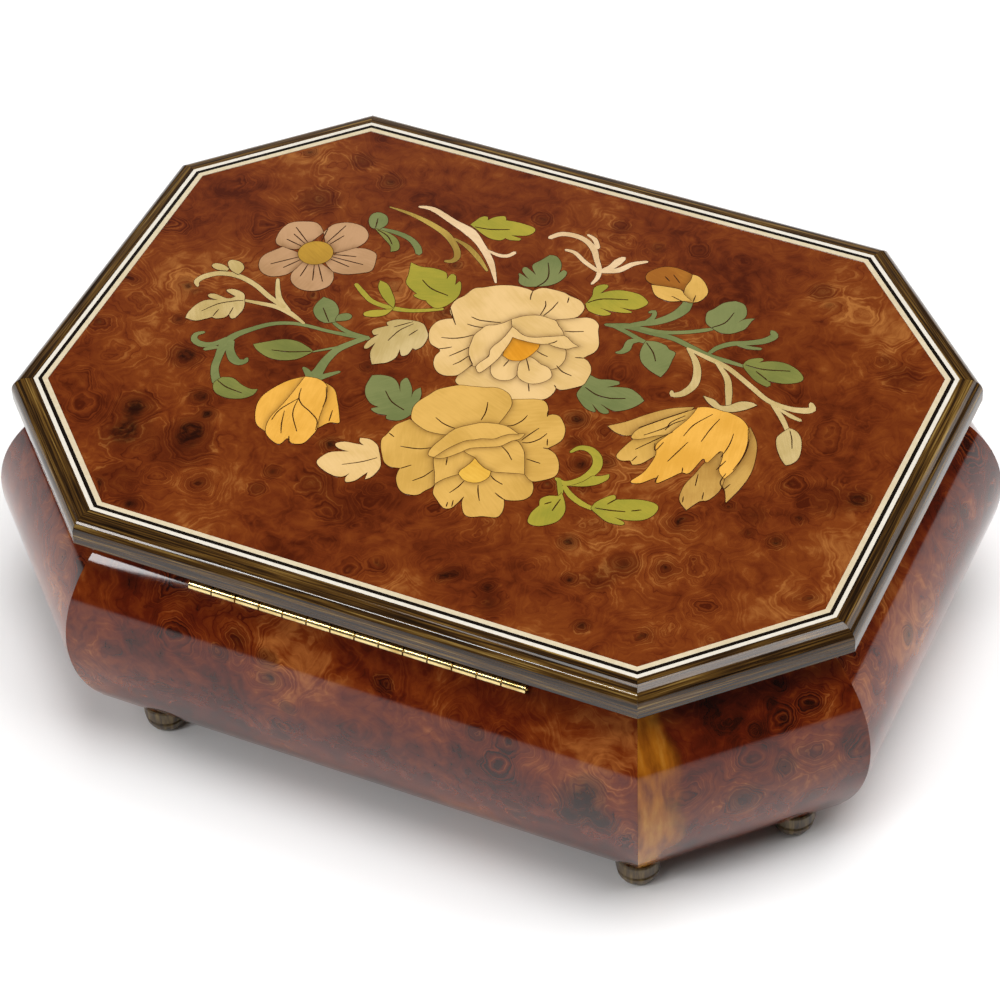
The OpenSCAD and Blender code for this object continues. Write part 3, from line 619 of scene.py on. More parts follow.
# Each leaf: its dye, the way its grain runs, its outline, and the lines cut in it.
LEAVES = [
    ("lime", 20, [(-33.3, 57.4, SHARP), (-31.7, 61.6), (-30, 62.4), (-29.4, 61, SHARP), (-27.8, 63.3),
        (-25.3, 64.5), (-24.4, 63, SHARP), (-22, 63.4), (-18.9, 63.5), (-15.3, 63), (-14.7, 61.3),
        (-16.1, 59.1), (-20.3, 57.5, SHARP), (-16.9, 57.2), (-17.2, 56.3), (-20, 55.5), (-21.4, 55.8, SHARP),
        (-22.2, 54.4), (-25, 53.9), (-27.8, 54.7), (-30.6, 56.1)], [[(-31.5, 56.9), (-27, 57.6),
        (-21.8, 59.6)]]),
    ("lime", -20, [(-42.3, 35.7, SHARP), (-38.9, 35.1), (-35, 35.9), (-31.1, 35.5), (-29.7, 33, SHARP),
        (-29.4, 35.5), (-27.8, 35.2), (-26.4, 31.6, SHARP), (-25.8, 33.6), (-24.4, 31.3), (-23.6, 28),
        (-24.2, 24.7), (-25.6, 21.9), (-27.8, 20.5), (-31.4, 22.4), (-29.4, 23.3, SHARP), (-32.4, 22.3),
        (-35.6, 23), (-35, 24.1, SHARP), (-37.8, 25.5), (-40, 27.4), (-40.8, 30.8)], [[(-36, 30),
        (-32, 27.6), (-26.5, 26.7)]]),
    ("sage", 80, [(-6.4, 53.8, SHARP), (-4.4, 54), (-2.2, 52.2), (-1.1, 49.7), (-0.8, 46.9, SHARP),
        (-0.2, 49.2), (1.1, 48.8), (1.4, 46.9), (0.6, 44.1), (-1.1, 41.9), (-3.9, 40.2), (-7.2, 38.8),
        (-9.7, 39.4), (-10.8, 41.9), (-11.4, 43.3), (-7.8, 41.9, SHARP), (-11.1, 44.7), (-10.6, 46.4),
        (-6.7, 44.4, SHARP), (-9.2, 47.7), (-7.8, 50.8)], [[(-5.5, 50.5), (-3.5, 46.5), (-3, 43),
        (-4.8, 38.9)]]),
    ("lime", 25, [(11.4, 38.3, SHARP), (11.9, 41.9), (11.1, 45.8), (13.1, 48), (14.6, 47.7),
        (13.6, 44.1, SHARP), (16.1, 46.3), (19.4, 47.7), (23.9, 47.9), (26.7, 46.6), (27.8, 44.9),
        (25.4, 41.5), (21.1, 40.7, SHARP), (25, 40.2), (23.3, 39.1), (19.4, 38.3), (15.8, 38.4, SHARP),
        (19.7, 37.4), (18.9, 36.1), (16.7, 35.5), (13.3, 36.1)], [[(11.8, 39), (15, 42), (22, 44.5)]]),
    ("sage", 70, [(50.6, 55.6, SHARP), (53.3, 55.2), (55, 53), (55.6, 50.2), (54.4, 47.4, SHARP), (56, 49.6),
        (58.3, 50.8, SHARP), (57.8, 49.1), (57.5, 46.3), (56.7, 44.7), (54.4, 42.4), (51.7, 41.6),
        (48.9, 42.4), (46.1, 44.1), (44.9, 48), (46.1, 50.2), (47.8, 53.6)], [[(52, 50.8), (51.2, 46),
        (48.5, 42.7)]]),
    ("sage", -50, [(33.3, 30.5, SHARP), (36.1, 31.3), (39.4, 30.8), (40.6, 29.7), (42.8, 29.1), (43.1, 26.3),
        (43.4, 22), (42.8, 18.3, SHARP), (38.9, 19.7), (35.6, 21.9), (33.9, 24.7), (33.3, 27.5)],
        [[(33.8, 29.8), (37, 26.8), (39, 23.8)]]),
    ("moss", 5, [(62.2, 32, SHARP), (62.9, 34.2), (65.5, 36), (66.8, 35.8), (66, 34.2, SHARP), (69, 36),
        (73, 36.7), (77, 35.5), (79.7, 33), (79.2, 31), (76, 29), (72, 28.3), (69.5, 28.6, SHARP),
        (72, 27.6), (71.8, 25.9), (68, 26.8), (65, 28.8), (62.7, 30.8)], [[(62.9, 31.9), (68, 32),
        (75.3, 34.2)], [(66.6, 30.5), (70.5, 28.5)]]),
    ("sage", 10, [(24.4, 11.6, SHARP), (27.2, 11), (30, 11.9), (32.8, 12.2), (33.3, 11.3),
        (30.4, 8.8, SHARP), (33.3, 10), (36.7, 10.7), (40, 9.4), (42.2, 7.7, SHARP), (41.4, 5.8), (40, 3.6),
        (37.8, 1.6), (35.6, 0.8), (31.4, 2, SHARP), (34.7, 0.2), (34.7, -0.9), (32.8, -1.2),
        (29.2, 1.2, SHARP), (31.4, -1.4), (28.9, -1.4), (26.1, 0.5), (23.9, 3), (23.9, 5.8)], [[(25, 6.5),
        (29, 4.9), (33, 5), (37, 6.5)]]),
    ("lime", 80, [(35.3, -34, SHARP), (37.5, -37), (39, -40.5), (38.5, -44.5), (35.5, -47.5), (33, -48.3),
        (31.2, -47.5), (30.8, -44), (31.7, -40.8, SHARP), (31, -38.5), (32.5, -36.5), (35, -35.5)],
        [[(36, -36.5), (35.7, -41.3)], [(32.8, -39.8), (34.2, -38.4)]]),
    ("lime", 15, [(45, -35.5, SHARP), (45.5, -33.5), (48, -30), (49.3, -29.6), (49.8, -31, SHARP), (52, -30),
        (56, -28.5), (60, -28.2), (61.7, -29.5), (61.5, -32.5), (59.5, -35.3), (55.5, -37),
        (52, -37.2, SHARP), (55.3, -38), (55, -39.2), (51, -39.5), (47.5, -38), (45, -36.5)], [[(46, -36),
        (50, -35.3), (54, -34.2)], [(48.5, -33.4), (50, -30.7)], [(55.5, -33.3), (57.7, -32)]]),
    ("lime", 60, [(40.5, -25, SHARP), (42.5, -24.2), (44.5, -22.6, SHARP), (44.9, -24.5), (43, -27.5),
        (40, -29.5), (36.5, -30.8, SHARP), (39, -28)], []),
    ("sage", -40, [(-32.2, -11.7, SHARP), (-30, -10.6), (-26.7, -10.3), (-24.2, -11.8), (-22, -14.8, SHARP),
        (-23.6, -11.2), (-23, -9), (-21.8, -9.6), (-19.5, -12.5), (-18.2, -15.7, SHARP), (-18.6, -13),
        (-17.5, -11, SHARP), (-16, -14), (-15.6, -18), (-15.5, -22), (-17.5, -25.3), (-21, -26),
        (-21.5, -24.6, SHARP), (-24.5, -25), (-26.7, -24), (-25, -22.6, SHARP), (-27.8, -22), (-30.5, -19.5),
        (-32, -16)], [[(-26, -16), (-22.5, -19.3), (-18, -21)]]),
    ("moss", 15, [(-69, -12.8, SHARP), (-66, -10.5), (-62, -7.8), (-58, -7), (-54, -8), (-52, -9, SHARP),
        (-52.8, -10.8), (-55, -13.8), (-59, -15.8), (-63, -16), (-67, -14.5)], [[(-63, -13), (-58, -11.8),
        (-52.5, -9.3)]]),
    ("moss", 10, [(-71, -28.3, SHARP), (-68, -27.5), (-64.5, -29), (-61.5, -29.6), (-59.5, -28.9, SHARP),
        (-59.7, -31.5), (-62, -34), (-66, -35.3), (-70, -34.5), (-72, -31.5)], [[(-71.5, -30), (-68, -31.5),
        (-63, -32)]]),
    ("sage", -40, [(-51.5, 4.5, SHARP), (-52.6, 9), (-55.5, 12), (-59.2, 12.7, SHARP), (-59.9, 9.6),
        (-59.5, 6.5), (-57, 3.8), (-54, 3)], [[(-57.3, 8.4), (-53.2, 3.7)]]),
    ("sage", 30, [(-51.7, 4.8, SHARP), (-52, 7.3), (-50, 9), (-48.2, 8.5), (-48.3, 6.8), (-50.3, 5.3)], []),
    ("sage", 75, [(-60.4, 52.2), (-57.5, 51.5), (-56, 48.5), (-57, 45.5, SHARP), (-59.5, 45.2),
        (-61.5, 47.5), (-62, 50.5)], [[(-59.5, 49.6), (-58.4, 45.6)]]),
    ("moss", -35, [(-58.5, 45.3, SHARP), (-54, 45), (-50.5, 43.5), (-48.5, 41), (-48.2, 39),
        (-49.8, 37.7, SHARP), (-51, 40), (-54, 42.2)], [[(-57.5, 45), (-53.6, 43.6), (-50.8, 40.8)]]),
    ("lime", -55, [(-38.6, 16, SHARP), (-39.6, 18.9), (-42, 22), (-44.6, 24.6), (-47.2, 25.2, SHARP),
        (-46.5, 22.5), (-44, 19.5), (-41, 17.3)], []),
    ("lime", 40, [(-38.6, 15.6, SHARP), (-39.5, 12.6), (-42, 10.6), (-44.8, 9.9), (-45.6, 11), (-44, 12.8),
        (-41.5, 14)], []),
]

# Each stem: its veneer and its middle line, with the width at each point.
STEMS = [
    ("cream", [(-50.5, 59.1, 0.8), (-46, 59.5, 1.8), (-38, 56.5, 2.3), (-32, 54.3, 3.4), (-27, 50.6, 2.3),
        (-21, 44.5, 2.0), (-16, 37, 0.5)]),
    ("cream", [(-24.5, 49, 0.7), (-20, 48.2, 1.3), (-17.5, 49, 1.4), (-16.3, 51, 1.2)]),
    ("olive", [(-58.5, 55.7, 0.4), (-52, 55.2, 1.2), (-45, 53.6, 1.8), (-38, 50.8, 2.2), (-33, 46.5, 1.9),
        (-31, 43, 1.9), (-31.6, 40.8, 1.6), (-33.4, 40, 0.9)]),
    ("olive", [(-35, 50, 0.6), (-30, 48.2, 1.6), (-25, 44.8, 1.6), (-20.5, 40.8, 0.7)]),
    ("cream", [(-9.4, 60.9, 1.5), (-7, 63.6, 1.8), (-3, 64.4, 1.8), (1, 63.5, 1.8), (4.5, 60.8, 1.9),
        (7, 57, 1.6), (9.3, 53.5, 1.4), (10.2, 50, 1.4), (9.7, 47, 0.8)]),
    ("cream", [(0.3, 66.2, 0.7), (3, 65, 1.5), (5.2, 62, 1.4)]),
    ("cream", [(-3, 57.7, 0.9), (0, 57.5, 1.3), (4, 55, 1.4), (8, 53.2, 1.4), (9.8, 52.7, 1.2)]),
    ("cream", [(10, 53, 1.2), (12, 55.6, 2.0), (13, 58.5, 2.6), (13.9, 60.6, 1.6)]),
    ("cream", [(10.3, 53, 1.4), (14.5, 55.2, 2.0), (17.3, 59.2, 1.7), (20.8, 61.8, 0.8)]),
    ("sage", [(20, 32.5, 0.8), (23, 33.2, 2), (27, 34.4, 2.4), (33, 34.3, 2.0), (40, 34.4, 1.8),
        (46, 33, 1.8), (52, 31.6, 1.7), (58, 31.4, 1.5), (63, 31.2, 1.0)]),
    ("sage", [(25, 33.5, 1.3), (29, 36.5, 2), (33, 39, 2.4), (36.5, 43, 3.0), (38.2, 47, 3.4),
        (38.2, 50.4, 2.6)]),
    ("sage", [(30.3, 37.5, 1.6), (31.4, 40.5, 1.4), (30.8, 42.8, 1.3), (29.7, 42, 0.9)]),
    ("sage", [(30, 35, 1.2), (36, 35.6, 1.5), (42, 38, 1.4), (47, 41, 1.4), (50, 43.2, 0.6)]),
    ("sage", [(22, 33, 1.4), (27, 31.8, 1.5), (32, 30.2, 1.6), (34.5, 30, 0.8)]),
    ("sage", [(31.8, 30.3, 1.2), (29.4, 28.5, 2.2), (29.5, 25.5, 2.3), (28.6, 23.6, 1.5), (27.4, 23, 0.7)]),
    ("sage", [(51.5, 32, 0.9), (53, 35.5, 1.6), (56, 38.5, 1.8), (60, 40.5, 1.8), (64, 43, 2.2),
        (66, 46, 2.4), (64.8, 47.6, 1.4)]),
    ("sage", [(57, 38.9, 0.8), (61, 38.9, 1.4), (64.4, 39.7, 0.9)]),
    ("pale", [(45.3, 32.2, 0.8), (49, 28.5, 1.8), (51.5, 24, 2.2), (52.5, 19, 2.4), (51, 14.6, 2.2),
        (48.6, 13, 1.7), (47.8, 14.3, 0.8)]),
    ("pale", [(45.6, 32, 0.9), (52, 30.6, 1.6), (58, 29.2, 1.6), (63, 26.8, 1.6), (68, 24, 1.6),
        (74, 20.8, 1.6), (80, 20, 1.8), (84.5, 20.8, 2.3), (86.4, 22.2, 2.2), (85.3, 24.2, 1.2)]),
    ("pale", [(55, 29.8, 1.0), (60, 25, 1.8), (62.5, 20, 2.0), (64.4, 15, 1.4)]),
    ("pale", [(77.5, 19, 0.8), (82, 17.4, 1.4), (85, 16.8, 1.0)]),
    ("pale", [(75.5, 20, 1.2), (80, 15.6, 1.6), (83.3, 11.5, 1.2)]),
    ("lime", [(31.4, -18.6, 0.8), (33, -16.2, 1.6), (36, -15.8, 2.2), (39, -18, 2.6), (40.2, -22, 2.8),
        (38.5, -27, 2.2), (35, -30.3, 1.8), (31.8, -29.6, 1.0)]),
    ("lime", [(32.5, -29.5, 1.2), (34.5, -33, 1.6), (35.5, -35.4, 1.0)]),
    ("lime", [(35, -31.5, 1.2), (38, -34, 1.8), (42, -35.8, 1.8), (46, -36.5, 1.2)]),
    ("lime", [(-25.5, 21, 1.0), (-30, 18.5, 1.3), (-34, 16.8, 1.4), (-38, 16, 1.7), (-42, 15.8, 1.6),
        (-46, 16.5, 1.6), (-50, 19, 1.6), (-53, 21.2, 1.2)]),
    ("sage", [(-40, 1.8, 1.8), (-46, 0.8, 1.4), (-52, 0.2, 1.2), (-58, 0, 1.2), (-63, -0.8, 1.3),
        (-68, -3.2, 1.5), (-72, -7, 1.7), (-75.5, -11.5, 2.2), (-76.6, -16, 2.8), (-75.8, -21, 2.2),
        (-74.5, -26, 2.2), (-71.5, -30.5, 2.6), (-68.5, -33, 1.6)]),
    ("sage", [(-77, -13.6, 1.6), (-79.5, -17, 1.8), (-82.5, -18.3, 2.2), (-85.3, -17.5, 2),
        (-86, -15.3, 1.6), (-84.3, -13.6, 0.9)]),
    ("sage", [(-78, -17.8, 1.2), (-80.8, -19.8, 1.2)]),
    ("sage", [(-75.5, -14, 2), (-74, -17.5, 2.4), (-71.5, -20.3, 2.8), (-69.3, -21, 2.4),
        (-67.9, -19.7, 1.6), (-68, -18.7, 0.9)]),
    ("sage", [(-41, 1.2, 1.8), (-43.5, -2, 2.0), (-46, -6, 2.3), (-47, -11, 2.6), (-47, -15.5, 3.0),
        (-47, -18.6, 4.4)]),
    ("sage", [(-48.4, -18.6, 2.2), (-50, -17, 1.8), (-51.5, -16.1, 0.8)]),
    ("sage", [(-45.8, -18.4, 2.2), (-43.6, -16, 1.6), (-41.4, -13.8, 0.8)]),
    ("sage", [(-40, 2, 1.0), (-46, 2, 1.4), (-50, 3.2, 1.3), (-52.5, 4.4, 0.8)]),
    ("sage", [(-52, -9.2, 0.5), (-48.5, -6.5, 0.8), (-46, -4.6, 0.8)]),
    ("sage", [(-57.4, 45.8, 0.8), (-52, 46, 1.6), (-47, 45, 1.8), (-43.5, 42.5, 2.1), (-41.9, 40.2, 1.9)]),
    ("pale", [(-59.5, 0.5, 0.7), (-65, 2.8, 1.7), (-70, 3.8, 1.6), (-75, 3.4, 1.4), (-80, 2.8, 0.9)]),
    ("pale", [(-66, 3.5, 1.6), (-70.5, 7, 1.8), (-73, 10.8, 1.4), (-74.9, 14.6, 0.9)]),
    ("pale", [(-68, 4.6, 1.6), (-74, 7, 1.6), (-80, 10, 1.6), (-86, 11.5, 1.8), (-91.5, 10.6, 1.8),
        (-95, 7.8, 2.0), (-96.2, 5, 1.7), (-95, 3.2, 0.7)]),
]

# Each petal or pale leaf, from the lowest to the one on top: its veneer, the grain's angle and its outline.
PETALS = {
    "small_flower": [
        ("blush", 60, [(-71.6, 38, SHARP), (-74.2, 40.5), (-77, 40.9), (-82, 38.6), (-83.6, 35),
            (-83.3, 30.5), (-82, 28.3), (-79.8, 27.8, SHARP), (-75, 29)]),
        ("blush", 110, [(-79.8, 27.8, SHARP), (-83.2, 22.6), (-83, 18.6), (-80.6, 15.6), (-77, 15),
            (-73.6, 17.3), (-72.1, 20.4, SHARP), (-71, 26)]),
        ("blush", 80, [(-71.6, 38, SHARP), (-70.4, 42.2), (-66.6, 44.7), (-62, 44.6), (-59, 42),
            (-58.5, 38.6), (-60, 35.2, SHARP), (-66, 31)]),
        ("blush", 100, [(-61.5, 23.6, SHARP), (-60, 20.4), (-60.2, 17), (-63, 14), (-67, 13.2), (-70.6, 15),
            (-72.2, 18), (-72, 20.5, SHARP), (-70, 26)]),
        ("blush", 5, [(-60, 35.2, SHARP), (-57, 36.1), (-53.6, 35.4), (-52.3, 33), (-51.4, 28.3),
            (-53.8, 26), (-58, 23.8), (-61.7, 23.6, SHARP), (-66, 28)]),
        ("disc", 30, arc((-69.8, 29), 5.1, 0, 345, 23)),
    ],
    "cream_peony": [
        ("ivory", 20, [(6.5, 29.3, SHARP), (12.2, 32.2), (14.5, 33.2), (16.5, 33), (18.4, 31.5),
            (19.2, 29.2), (20.7, 26.1), (21.8, 23.4), (21.7, 20.7), (20.3, 18.4), (19.7, 17.2, SHARP),
            (21.2, 16.7), (23, 14.9), (24, 12.6), (24.2, 9.5), (24, 7.2), (21.8, 4.9), (19.2, 3),
            (17.4, 3.2, SHARP), (17.7, 1.5), (16.5, -2), (12.6, -4), (8.4, -5.6), (3, -7), (-3, -7),
            (-8.9, -5.6), (-9.9, -3.2), (-9.4, -1), (-8.4, 1.5, SHARP), (-6, 6), (0, 16), (3, 26)]),
        ("ivory", 35, [(-4.6, 37.6, SHARP), (-3.5, 39.2), (-2, 40.1), (0.7, 40.4), (3.8, 40.4), (6.1, 39.7),
            (9.5, 39), (11.5, 37.2), (12, 35.3), (11.5, 32.6), (9.9, 31.1), (6.5, 29.3, SHARP), (4, 24),
            (-3, 18), (-6, 8), (-8.2, 3, SHARP), (-9.1, -0.1), (-10.1, -2.4), (-11.6, -3.4), (-13.9, -4),
            (-16.2, -3.2), (-18.2, -0.9), (-19.1, 2.2), (-18.7, 4.5), (-19.3, 5.4, SHARP), (-22.4, 6.4),
            (-24.3, 9.1), (-25.2, 12.2), (-24.7, 15.3), (-23.1, 17.2), (-20.9, 18.4, SHARP), (-22.6, 20.2),
            (-23.5, 22), (-23.7, 24.5), (-23.2, 26.5), (-22, 28.4), (-20.7, 32.2), (-18.2, 33.8),
            (-15.5, 35.7), (-12.8, 37), (-9.7, 37.8), (-6.6, 37.9)]),
        ("ivory", 15, [(6.3, 18, SHARP), (8.8, 19.2), (10.2, 18.4, SHARP), (12, 18.4), (13.6, 18.6),
            (14.6, 16.8), (15.2, 14.3), (14.6, 11), (12, 9), (8, 9), (5, 11, SHARP)]),
        ("ivory", 80, [(-2, 9.6, SHARP), (-2.4, 7.6), (-3, 5.1), (-2.2, 2.6), (-0.5, 0.7), (1.9, 0.2),
            (4.2, 1.3), (5.1, 3), (5.2, 4.5), (4.8, 5.5, SHARP), (5, 8), (4, 10), (0.5, 10)]),
        ("ivory", 10, [(9.9, 10.3, SHARP), (12.2, 9.9), (13.8, 8.4), (14.5, 6.5), (13.4, 4.2), (11.5, 2.6),
            (9.5, 2), (6.9, 2.6), (5.5, 3.8), (4.8, 5.4, SHARP), (4, 9), (5.6, 12)]),
        ("centre", 40, [(-2, 17.9, SHARP), (6.1, 18.1, SHARP), (6.4, 16.1), (5.7, 13), (4.5, 10.3), (3, 9.2),
            (0.7, 8.8), (-1.6, 9.7, SHARP), (-2.2, 13)]),
        ("ivory", 55, [(-4, 21.6, SHARP), (-4, 26), (-2.4, 27.2, SHARP), (-4.9, 24.9), (-7, 22),
            (-8.9, 20.3), (-10.9, 19.2), (-11.8, 16.8), (-12.5, 14.3), (-12.1, 11.5), (-11.6, 8.8),
            (-10.3, 5.9), (-8, 3, SHARP), (-6.7, 2.6), (-5.4, 8), (-5.6, 12), (-4.6, 15.5)]),
        ("ivory", 25, [(-4, 21.6, SHARP), (-5.4, 24.4), (-4.9, 24.9), (-2.4, 27.2), (1.3, 28.8), (5.1, 28.7),
            (6.5, 28.5), (8, 26.9), (9.9, 25.3), (11, 23.8, SHARP), (8, 20), (2, 18.4), (-2, 19.6)]),
        ("ivory", 45, [(-4.9, 0.7), (-6, 1.5), (-6.7, 2.6), (-6.4, 4.5), (-5.1, 7.8), (-5.8, 10.3),
            (-5.5, 12.6), (-4.8, 14.5), (-4.2, 17.6), (-3.9, 21.6, SHARP), (-2, 20.7), (-0.5, 19.8),
            (1.5, 19.4), (3.8, 19.9), (6.8, 21.4), (9.9, 23), (11.1, 23.7, SHARP), (12.2, 23.4),
            (14.5, 21.9), (16.6, 21.1, SHARP), (15.4, 20.2), (13.8, 18.9), (10.4, 18.6), (8.4, 18.9),
            (6.5, 18.1), (3, 17.6), (-0.1, 17.5), (-2.2, 17.7, SHARP), (-2, 14.9), (-2.2, 11.1), (-2.3, 8.4),
            (-3, 5.3), (-3.9, 2.6)]),
    ],
    "yellow_peony": [
        ("straw", 70, [(-3, -25.4, SHARP), (-15, -23.8, SHARP), (-16.2, -25.4), (-17.5, -27.3), (-18, -30),
            (-18.3, -32), (-18.7, -33.8), (-17.7, -36.5), (-15.8, -39.6), (-14.2, -41.7), (-11.9, -42.7),
            (-9.2, -42.1, SHARP), (-9.1, -43.8), (-8.5, -46.2), (-6.7, -48.9), (-4.6, -50.4), (-2.3, -50.4),
            (-0.4, -49.6), (0.8, -47.3), (1.9, -45.6), (2.2, -44, SHARP), (3, -38), (-1, -33), (-3, -28)]),
        ("straw", 40, [(2.3, -44.2, SHARP), (3.1, -47.3), (5, -49.2), (8.1, -51.5), (10, -50.8),
            (10.8, -48.5), (11.5, -45.8, SHARP), (11.9, -47.7), (13.1, -50), (14.6, -51.7), (16.5, -51.8),
            (19.2, -50.4), (22.7, -49.4), (23.4, -47.3), (22.9, -44.6), (21.9, -42.4, SHARP), (24.2, -41.9),
            (26.9, -40.4), (28, -38.1), (27.5, -35.4), (26, -33.1), (23.1, -31.3, SHARP), (12, -32),
            (6, -36)]),
        ("straw", -30, [(8, -5.8, SHARP), (10.8, -4.6), (13.8, -3.3), (16.4, -2.9), (18.1, -4.2),
            (19.2, -6.2), (19.8, -8.1, SHARP), (20.8, -7.1), (22.7, -6.9), (24.6, -8.5), (26.5, -11.2),
            (27.3, -14.6), (26.7, -16.9), (24.9, -19.9, SHARP), (27.3, -20.8), (28.4, -21.7), (30, -23.8),
            (31.2, -26.9), (31, -29.2), (29.2, -31.2), (26.2, -33.1), (23.1, -31.3, SHARP), (16, -26),
            (12, -20), (7, -14)]),
        ("straw", 20, [(8.5, -18, SHARP), (8.6, -15.6), (9, -11.5), (8.9, -8.1), (7.9, -5.8), (6.2, -4),
            (3.5, -3.1), (1.2, -3.3), (-0.8, -4.2), (-4.6, -5.2), (-7.7, -6), (-10.4, -7.9), (-12.7, -10),
            (-14.2, -13.1), (-15.6, -16.2), (-16, -18.8), (-15.4, -21.5), (-14.4, -23.5), (-12.3, -24.8),
            (-8.9, -26), (-5.8, -26), (-3, -25.5, SHARP), (3, -24)]),
        ("straw", 75, [(-2.7, -34.4, SHARP), (-1.5, -37), (0.4, -40.4), (2.1, -44.2, SHARP), (2.6, -43),
            (3.6, -41.4), (5.4, -39.3), (6.5, -38.4, SHARP), (6.4, -36.8), (7.4, -34.5), (8.2, -30.6, SHARP),
            (6, -27), (0, -31)]),
        ("straw", 10, [(14.8, -20.4, SHARP), (16.4, -20.5), (19.2, -23.1), (20.9, -26.3),
            (23.1, -31.4, SHARP), (20.4, -32.1), (16.9, -33.2), (14.6, -33.8), (11.9, -33.3), (10, -32.1),
            (8.1, -30.6, SHARP), (4, -29), (8, -24)]),
        ("gold_disc", 20, [(8.1, -30.9, SHARP), (10, -32.3), (12.3, -33.5), (14.2, -33.9, SHARP),
            (14.6, -35.8), (14, -37.7), (12.7, -39.2), (10.8, -39.9), (8.5, -39.6), (6.5, -38.1, SHARP),
            (6.4, -36.8), (7.3, -34.6), (7.9, -32.6)]),
        ("straw", 35, [(15.2, -17.7, SHARP), (16.9, -17, SHARP), (16.5, -19.2), (14.7, -20.8), (12.7, -23.8),
            (10, -25.4), (6.9, -26.9), (5, -28.1), (3.1, -30.8), (0.8, -33.5), (-0.8, -34.6),
            (-2.6, -35, SHARP), (-2, -31), (2, -25), (8, -20)]),
        ("straw", 30, [(15.2, -17.7, SHARP), (12.7, -16.6), (10.8, -16.1), (8.7, -16.2), (6.5, -16.7),
            (3.8, -17.7), (1.5, -19.5), (-0.8, -21.5), (-2.3, -23.8), (-3.5, -27.7), (-4.4, -30.8),
            (-4.6, -33.5), (-3.9, -34.8), (-2.4, -34.7, SHARP), (-1.2, -31.9), (0, -29.6), (1.5, -27.3),
            (3.1, -25.4), (5, -24.3), (6.5, -23.2), (8.5, -22.5), (10, -21.8), (11.5, -20), (13.1, -18.6)]),
    ],
    "orange_bud": [
        ("amber", 80, [(-49.6, -19.4, SHARP), (-53, -22.6), (-55.6, -27), (-57, -31.4), (-56.4, -36),
            (-53.6, -41.4), (-49.8, -43.3, SHARP), (-46, -34), (-45, -24)]),
        ("amber", 95, [(-45.5, -19, SHARP), (-40, -20.6), (-36.6, -25), (-33.4, -30.4), (-32.5, -32.6),
            (-35, -33.4), (-37, -36.6, SHARP), (-41, -30)]),
        ("amber", 85, [(-49.4, -19.3, SHARP), (-45.5, -18.8), (-42, -20.6), (-40, -26), (-38.4, -33),
            (-37.1, -37), (-37.3, -40.4), (-38.2, -43.6), (-41, -44.7), (-43, -43.4), (-44, -46.3),
            (-47, -45.6), (-49.8, -43.2), (-51, -38), (-50, -30)]),
    ],
    "tulip": [
        ("khaki", 55, [(56, 10.6, SHARP), (50, 7.4), (45, 2.8), (41, -1.8), (36.8, -5.4, SHARP), (40, -7),
            (43.8, -6.6), (47, -2), (54, 4)]),
        ("khaki", 100, [(73.2, 9, SHARP), (77, 4), (79, -2), (79.9, -8), (79.4, -14), (77.8, -20.8, SHARP),
            (76, -16.8), (74, -14), (73, -8), (73, 2)]),
        ("khaki", 70, [(70, -2, SHARP), (67, -8.4), (66, -14), (65, -19), (65.8, -24.4), (69, -27.4, SHARP),
            (71, -23), (73, -21.6), (74.5, -17), (73.8, -11), (72, -6)]),
        ("straw", 60, [(56, 5, SHARP), (50, 0), (46, -6), (44, -12), (43.6, -15.5), (45.6, -16.5),
            (47.8, -15.6), (48.8, -16.8), (51, -15.4), (53.4, -11), (57, -4)]),
        ("straw", 50, [(57, 10.4, SHARP), (53, 6), (48.6, 1), (45, -3.6), (44.6, -7.2), (47, -6.8),
            (50.4, -4), (55, -1), (59, 4)]),
        ("amber", 80, [(57, 10.8, SHARP), (60, 12), (66, 12.1), (70.6, 10.6), (73.8, 6.8), (75.6, 0),
            (75.3, -8), (74, -12.4, SHARP), (71.6, -10), (70.4, -4), (69, -3), (67.4, -8.4), (65.8, -7.4),
            (64.4, -14), (62.4, -14.6), (60, -18), (57.7, -20.9), (56.8, -19), (53.6, -22.6), (51, -23),
            (53, -18), (53.4, -11), (52, -7), (54.4, 0), (56.4, 6)]),
    ],
    "top_bud": [
        ("rust", 20, [(22.8, 56.9), (23.9, 59.2), (26.2, 61.4), (29.4, 62.3), (33.2, 61.9),
            (35.3, 61.2, SHARP), (35.7, 58), (35.6, 54.1, SHARP), (32.6, 54.3), (29.4, 53.6), (25.8, 53.4),
            (23.4, 54.6)]),
        ("straw", 70, [(35.1, 61.4, SHARP), (37.2, 61.2), (40, 59), (41.9, 56), (41.7, 53), (40.3, 50.8),
            (37.5, 50), (36.5, 51.5), (35.7, 53, SHARP), (35.2, 56), (35.5, 59)]),
        ("straw", 10, [(25.8, 52.9, SHARP), (29.4, 53.6), (34.2, 54.1), (36, 52.6), (38.9, 50.8, SHARP),
            (36.1, 49.7), (33.3, 48.4), (30, 48.6), (27.8, 49.9)]),
    ],
    "pale_leaves": [
        ("pale", 80, [(-29.7, 13.4, SHARP), (-32.2, 13), (-35.6, 11.9), (-37.8, 9.7), (-36.7, 8.7, SHARP),
            (-39.4, 6.3), (-40.1, 4.9), (-38.9, 3.6), (-37.8, 4.4, SHARP), (-39.2, 1.1), (-39.4, -2),
            (-38.3, -2.3), (-37.1, 0.8, SHARP), (-36.9, -2.6), (-35.8, -5.3), (-34.2, -7.6, SHARP),
            (-32.2, -6.4), (-30.6, -5.3), (-29.2, -2.6), (-29.6, 1, SHARP), (-28.1, -1.2), (-26.7, -0.3),
            (-26.4, 2.8, SHARP), (-25.3, 2.6), (-24.2, 4.7), (-24.4, 8.6), (-26.1, 11.3), (-27.8, 13)]),
        ("pale", 60, [(-79.7, 2.7, SHARP), (-81.1, 5.2), (-84.4, 5.9), (-86.4, 4.9), (-85.6, 4.1),
